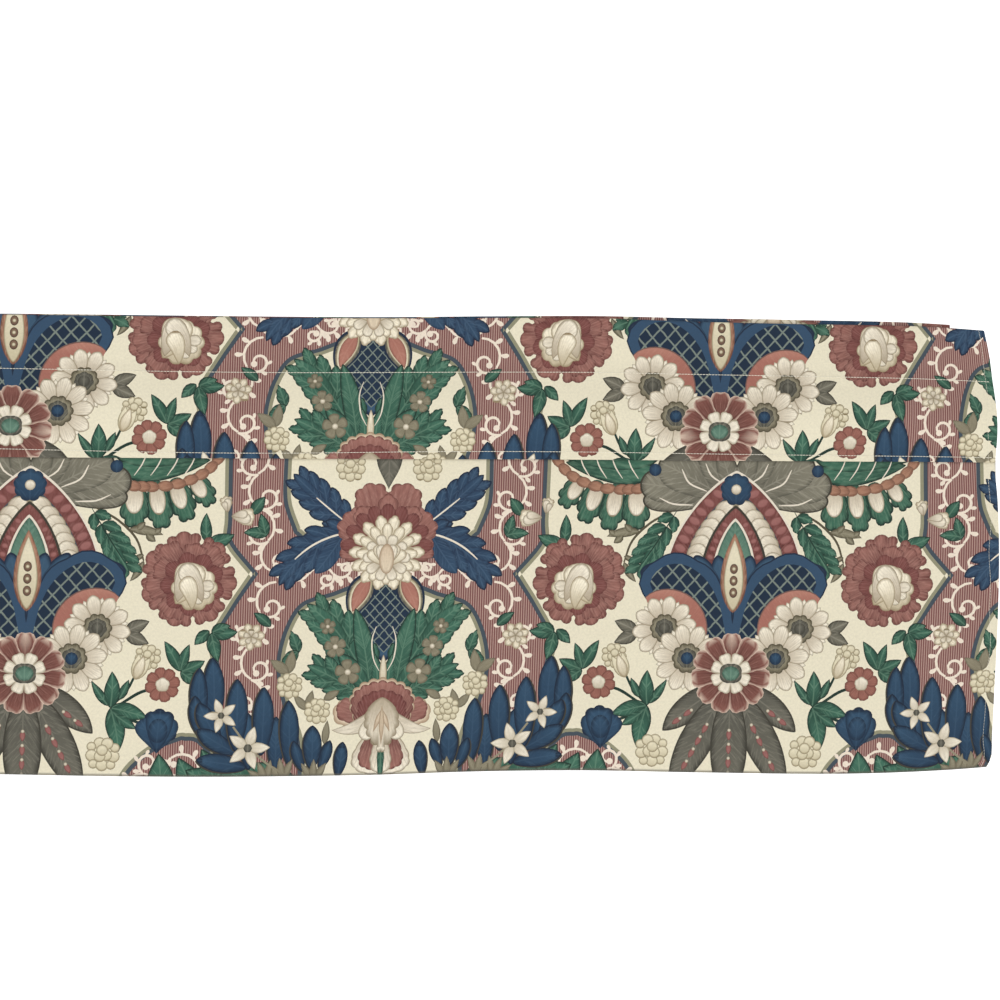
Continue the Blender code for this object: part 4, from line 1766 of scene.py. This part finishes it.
def bake_map(mesh, corners, printed, low, high):
    """Lays a length of cloth out over the unit square, its wrong side in a narrow row above."""
    foot, height = MAP_REST
    corners = (corners - (low, 0.0)) / (high - low, wrap.end)
    corners[..., 0] = MAP_MARGIN + MAP_WIDTH * corners[..., 0]
    corners[:printed, :, 1] = MAP_MARGIN + MAP_PRINTED * corners[:printed, :, 1]
    corners[printed:, :, 1] = foot + height * corners[printed:, :, 1]
    layer = mesh.uv_layers.new(name="OFBake")
    layer.uv.foreach_set("vector", corners.astype(np.float32).ravel())


def tube_triangles(rings, sides):
    """Triangles of a closed tube, from its first ring of points to its last."""
    side = np.arange(sides)
    after = (side + 1) % sides
    triangles = []
    for low in range(0, (rings - 1) * sides, sides):
        high = low + sides
        triangles += zip(low + side, low + after, high + after)
        triangles += zip(low + side, high + after, high + side)
    last = (rings - 1) * sides
    triangles += [(corner + 1, corner, 0) for corner in range(1, sides - 1)]
    triangles += [(last, last + corner, last + corner + 1) for corner in range(1, sides - 1)]
    return np.array(triangles)


def stitches(name, lines, thread):
    """A piece of many short stitches along lines, each given by places (along, run)."""
    shares, heights, radii = (np.array(column) for column in zip(*STITCH_SHAPE))
    angles = math.tau * np.arange(THREAD_SIDES)[:, None] / THREAD_SIDES
    single = tube_triangles(len(shares), THREAD_SIDES)
    each = len(shares) * THREAD_SIDES
    points, triangles = [], []
    for line in lines:
        along = along_line(line)
        starts = np.arange(STITCH_PITCH, along[-1] - 2.0 * STITCH_PITCH, STITCH_PITCH)
        at = starts[:, None] + shares * STITCH_LENGTH
        place, run = (np.interp(at, along, column) for column in line.T)
        on_cloth = in_space(place, run, CLOTH / 2.0)
        out = unit(in_space(place, run, CLOTH / 2.0 + PROBE) - on_cloth)
        beside = np.cross(unit(on_cloth[:, -1:] - on_cloth[:, :1]), out)
        centre = on_cloth + out * (heights * thread)[:, None]
        rim = np.cos(angles) * out[:, :, None] + np.sin(angles) * beside[:, :, None]
        rings = centre[:, :, None] + rim * (radii * thread)[:, None, None]
        first = sum(len(part) for part in points)
        bases = first + each * np.arange(len(starts))
        points.append(rings.reshape(-1, 3))
        triangles.append((single + bases[:, None, None]).reshape(-1, 3))
    made = new_object(name, np.vstack(points), np.vstack(triangles))
    made.data.materials.append(THREAD_MATERIAL)
    return made


def row_lines():
    """The two rows across the band, as they show on its front and on the cloth's back."""
    last = MIRROR - REAR_END_X + LINE_MARGIN
    alongs = np.linspace(FRONT_END_X - LINE_MARGIN, last, ROW_POINTS)
    x = np.where(alongs > FOLD_X, alongs, MIRROR - alongs)
    for drop, wander in STITCH_ROWS:
        strayed = read_smoothly(wander, x)
        yield np.column_stack((alongs, wrap.on_band(drop) + strayed))
        yield np.column_stack((alongs, wrap.on_back(drop) - strayed))


def hem_lines():
    """The rows that hold the two side hems."""
    runs = np.linspace(LINE_MARGIN, wrap.end - LINE_MARGIN, HEM_POINTS)
    wobble = sum(size * np.sin(runs * pace + phase) for size, pace, phase in HEM_WOBBLE)
    yield np.column_stack((FRONT_END_X - HEM_STITCH + wobble, runs))
    yield np.column_stack((MIRROR - (REAR_END_X - HEM_STITCH) + wobble, runs))


# ------------ Stage, light and camera ------------
FLOOR_Z = -1.10
WALL_Y = 4.20
SWEEP = 0.60  # radius of the curve from floor to wall
SWEEP_STEPS = 12
STAGE_REACH = 6.0
PAPER = ((0.93, 0.93, 0.93, 1.0), (0.96, 0.96, 0.96, 1.0))
PAPER_ROUGH = 0.9
PAPER_GLOW = 0.55
WHITE = (1.0, 1.0, 1.0, 1.0)
WORLD_LIGHT = 0.42  # what the white studio around the stage gives, next to how it looks

LIGHTS = (  # place, target, width and height, power
    ("key", (-1.3, -2.6, 1.5), (0.0, 0.0, -0.22), (2.2, 1.6), 33.0),
    ("fill", (1.9, -2.4, 0.4), (0.0, 0.0, -0.22), (2.0, 2.0), 16.0),
    ("back", (0.6, 1.4, 1.7), (0.0, 0.3, -0.2), (1.6, 0.8), 7.0),
)

CAMERA_SENSOR = 36.0
CAMERA_LENS = 72.0
CAMERA_DISTANCE = 1.9972
CAMERA_YAW = 5.1
CAMERA_ROLL = 0.35
CAMERA_TARGET = (0.0575, 0.0, -0.180)


def make_stage():
    """A seamless sweep of pale paper: floor, curve and wall."""
    profile = [(-STAGE_REACH, FLOOR_Z), (WALL_Y - SWEEP, FLOOR_Z)]
    for step in range(1, SWEEP_STEPS + 1):
        angle = math.pi / 2.0 * step / SWEEP_STEPS
        y = WALL_Y - SWEEP + SWEEP * math.sin(angle)
        profile.append((y, FLOOR_Z + SWEEP * (1.0 - math.cos(angle))))
    profile.append((WALL_Y, STAGE_REACH))
    points, triangles = [], []
    for y, z in profile:
        points += [(-STAGE_REACH, y, z), (STAGE_REACH, y, z)]
    for low in range(0, len(points) - 2, 2):
        triangles += [(low, low + 1, low + 3), (low, low + 3, low + 2)]
    stage = new_object("stage_sweep", np.array(points), np.array(triangles))
    material, shader, sums = named_material("stage_paper")
    grain = sums.noise(sums.made("ShaderNodeTexCoord", "Object", {}), "paper")
    sums.feed(shader["Base Color"], sums.mix(grain, *PAPER))
    shader["Roughness"].default_value = PAPER_ROUGH
    shader["Emission Color"].default_value = WHITE
    shader["Emission Strength"].default_value = PAPER_GLOW
    stage.data.materials.append(material)
    stage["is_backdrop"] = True


def make_lights():
    for name, place, target, size, power in LIGHTS:
        data = bpy.data.lights.new(name, "AREA")
        data.shape = "RECTANGLE"
        data.size, data.size_y = size
        data.energy = power
        light = bpy.data.objects.new(name, data)
        light.location = place
        aim = Vector(target) - Vector(place)
        light.rotation_euler = aim.to_track_quat("-Z", "Y").to_euler()
        bpy.context.scene.collection.objects.link(light)
    world = bpy.data.worlds.new("studio")
    world.use_nodes = True
    background = world.node_tree.nodes["Background"].inputs
    background["Color"].default_value = WHITE
    sums = Sums(world)
    seen = sums.made("ShaderNodeLightPath", "Is Camera Ray", {})
    sums.feed(background["Strength"], seen * (1.0 - WORLD_LIGHT) + WORLD_LIGHT)
    bpy.context.scene.world = world


def make_camera():
    yaw = math.radians(CAMERA_YAW)
    ahead = Vector((math.sin(yaw), math.cos(yaw), 0.0))
    data = bpy.data.cameras.new("camera")
    data.sensor_width = CAMERA_SENSOR
    data.lens = CAMERA_LENS
    camera = bpy.data.objects.new("camera", data)
    facing = Matrix.Rotation(-yaw, 4, "Z") @ Matrix.Rotation(math.pi / 2.0, 4, "X")
    facing = facing @ Matrix.Rotation(math.radians(CAMERA_ROLL), 4, "Z")
    place = Matrix.Translation(Vector(CAMERA_TARGET) - CAMERA_DISTANCE * ahead)
    camera.matrix_world = place @ facing
    bpy.context.scene.collection.objects.link(camera)
    bpy.context.scene.camera = camera


THREAD_MATERIAL = thread_material()
front_cloth, rear_cloth = make_cloth()
rows = stitches("row_stitches", list(row_lines()), THREAD)
hems = stitches("hem_stitches", list(hem_lines()), HEM_THREAD)
for cloth, width, sewing in (
    (front_cloth, FIRST_END - FOLD_MIDDLE, [rows, hems]),
    (rear_cloth, FOLD_MIDDLE - LAST_END, []),
):
    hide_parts(CLOTH_NODE)
    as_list(sewing)
for piece in (front_cloth, rear_cloth, rows, hems):
    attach(piece, "root")
make_stage()
make_lights()
make_camera()
bpy.context.scene.view_settings.view_transform = "Standard"

boxes = [[list(corner) for corner in box] for box in (cad_bounds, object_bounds())]
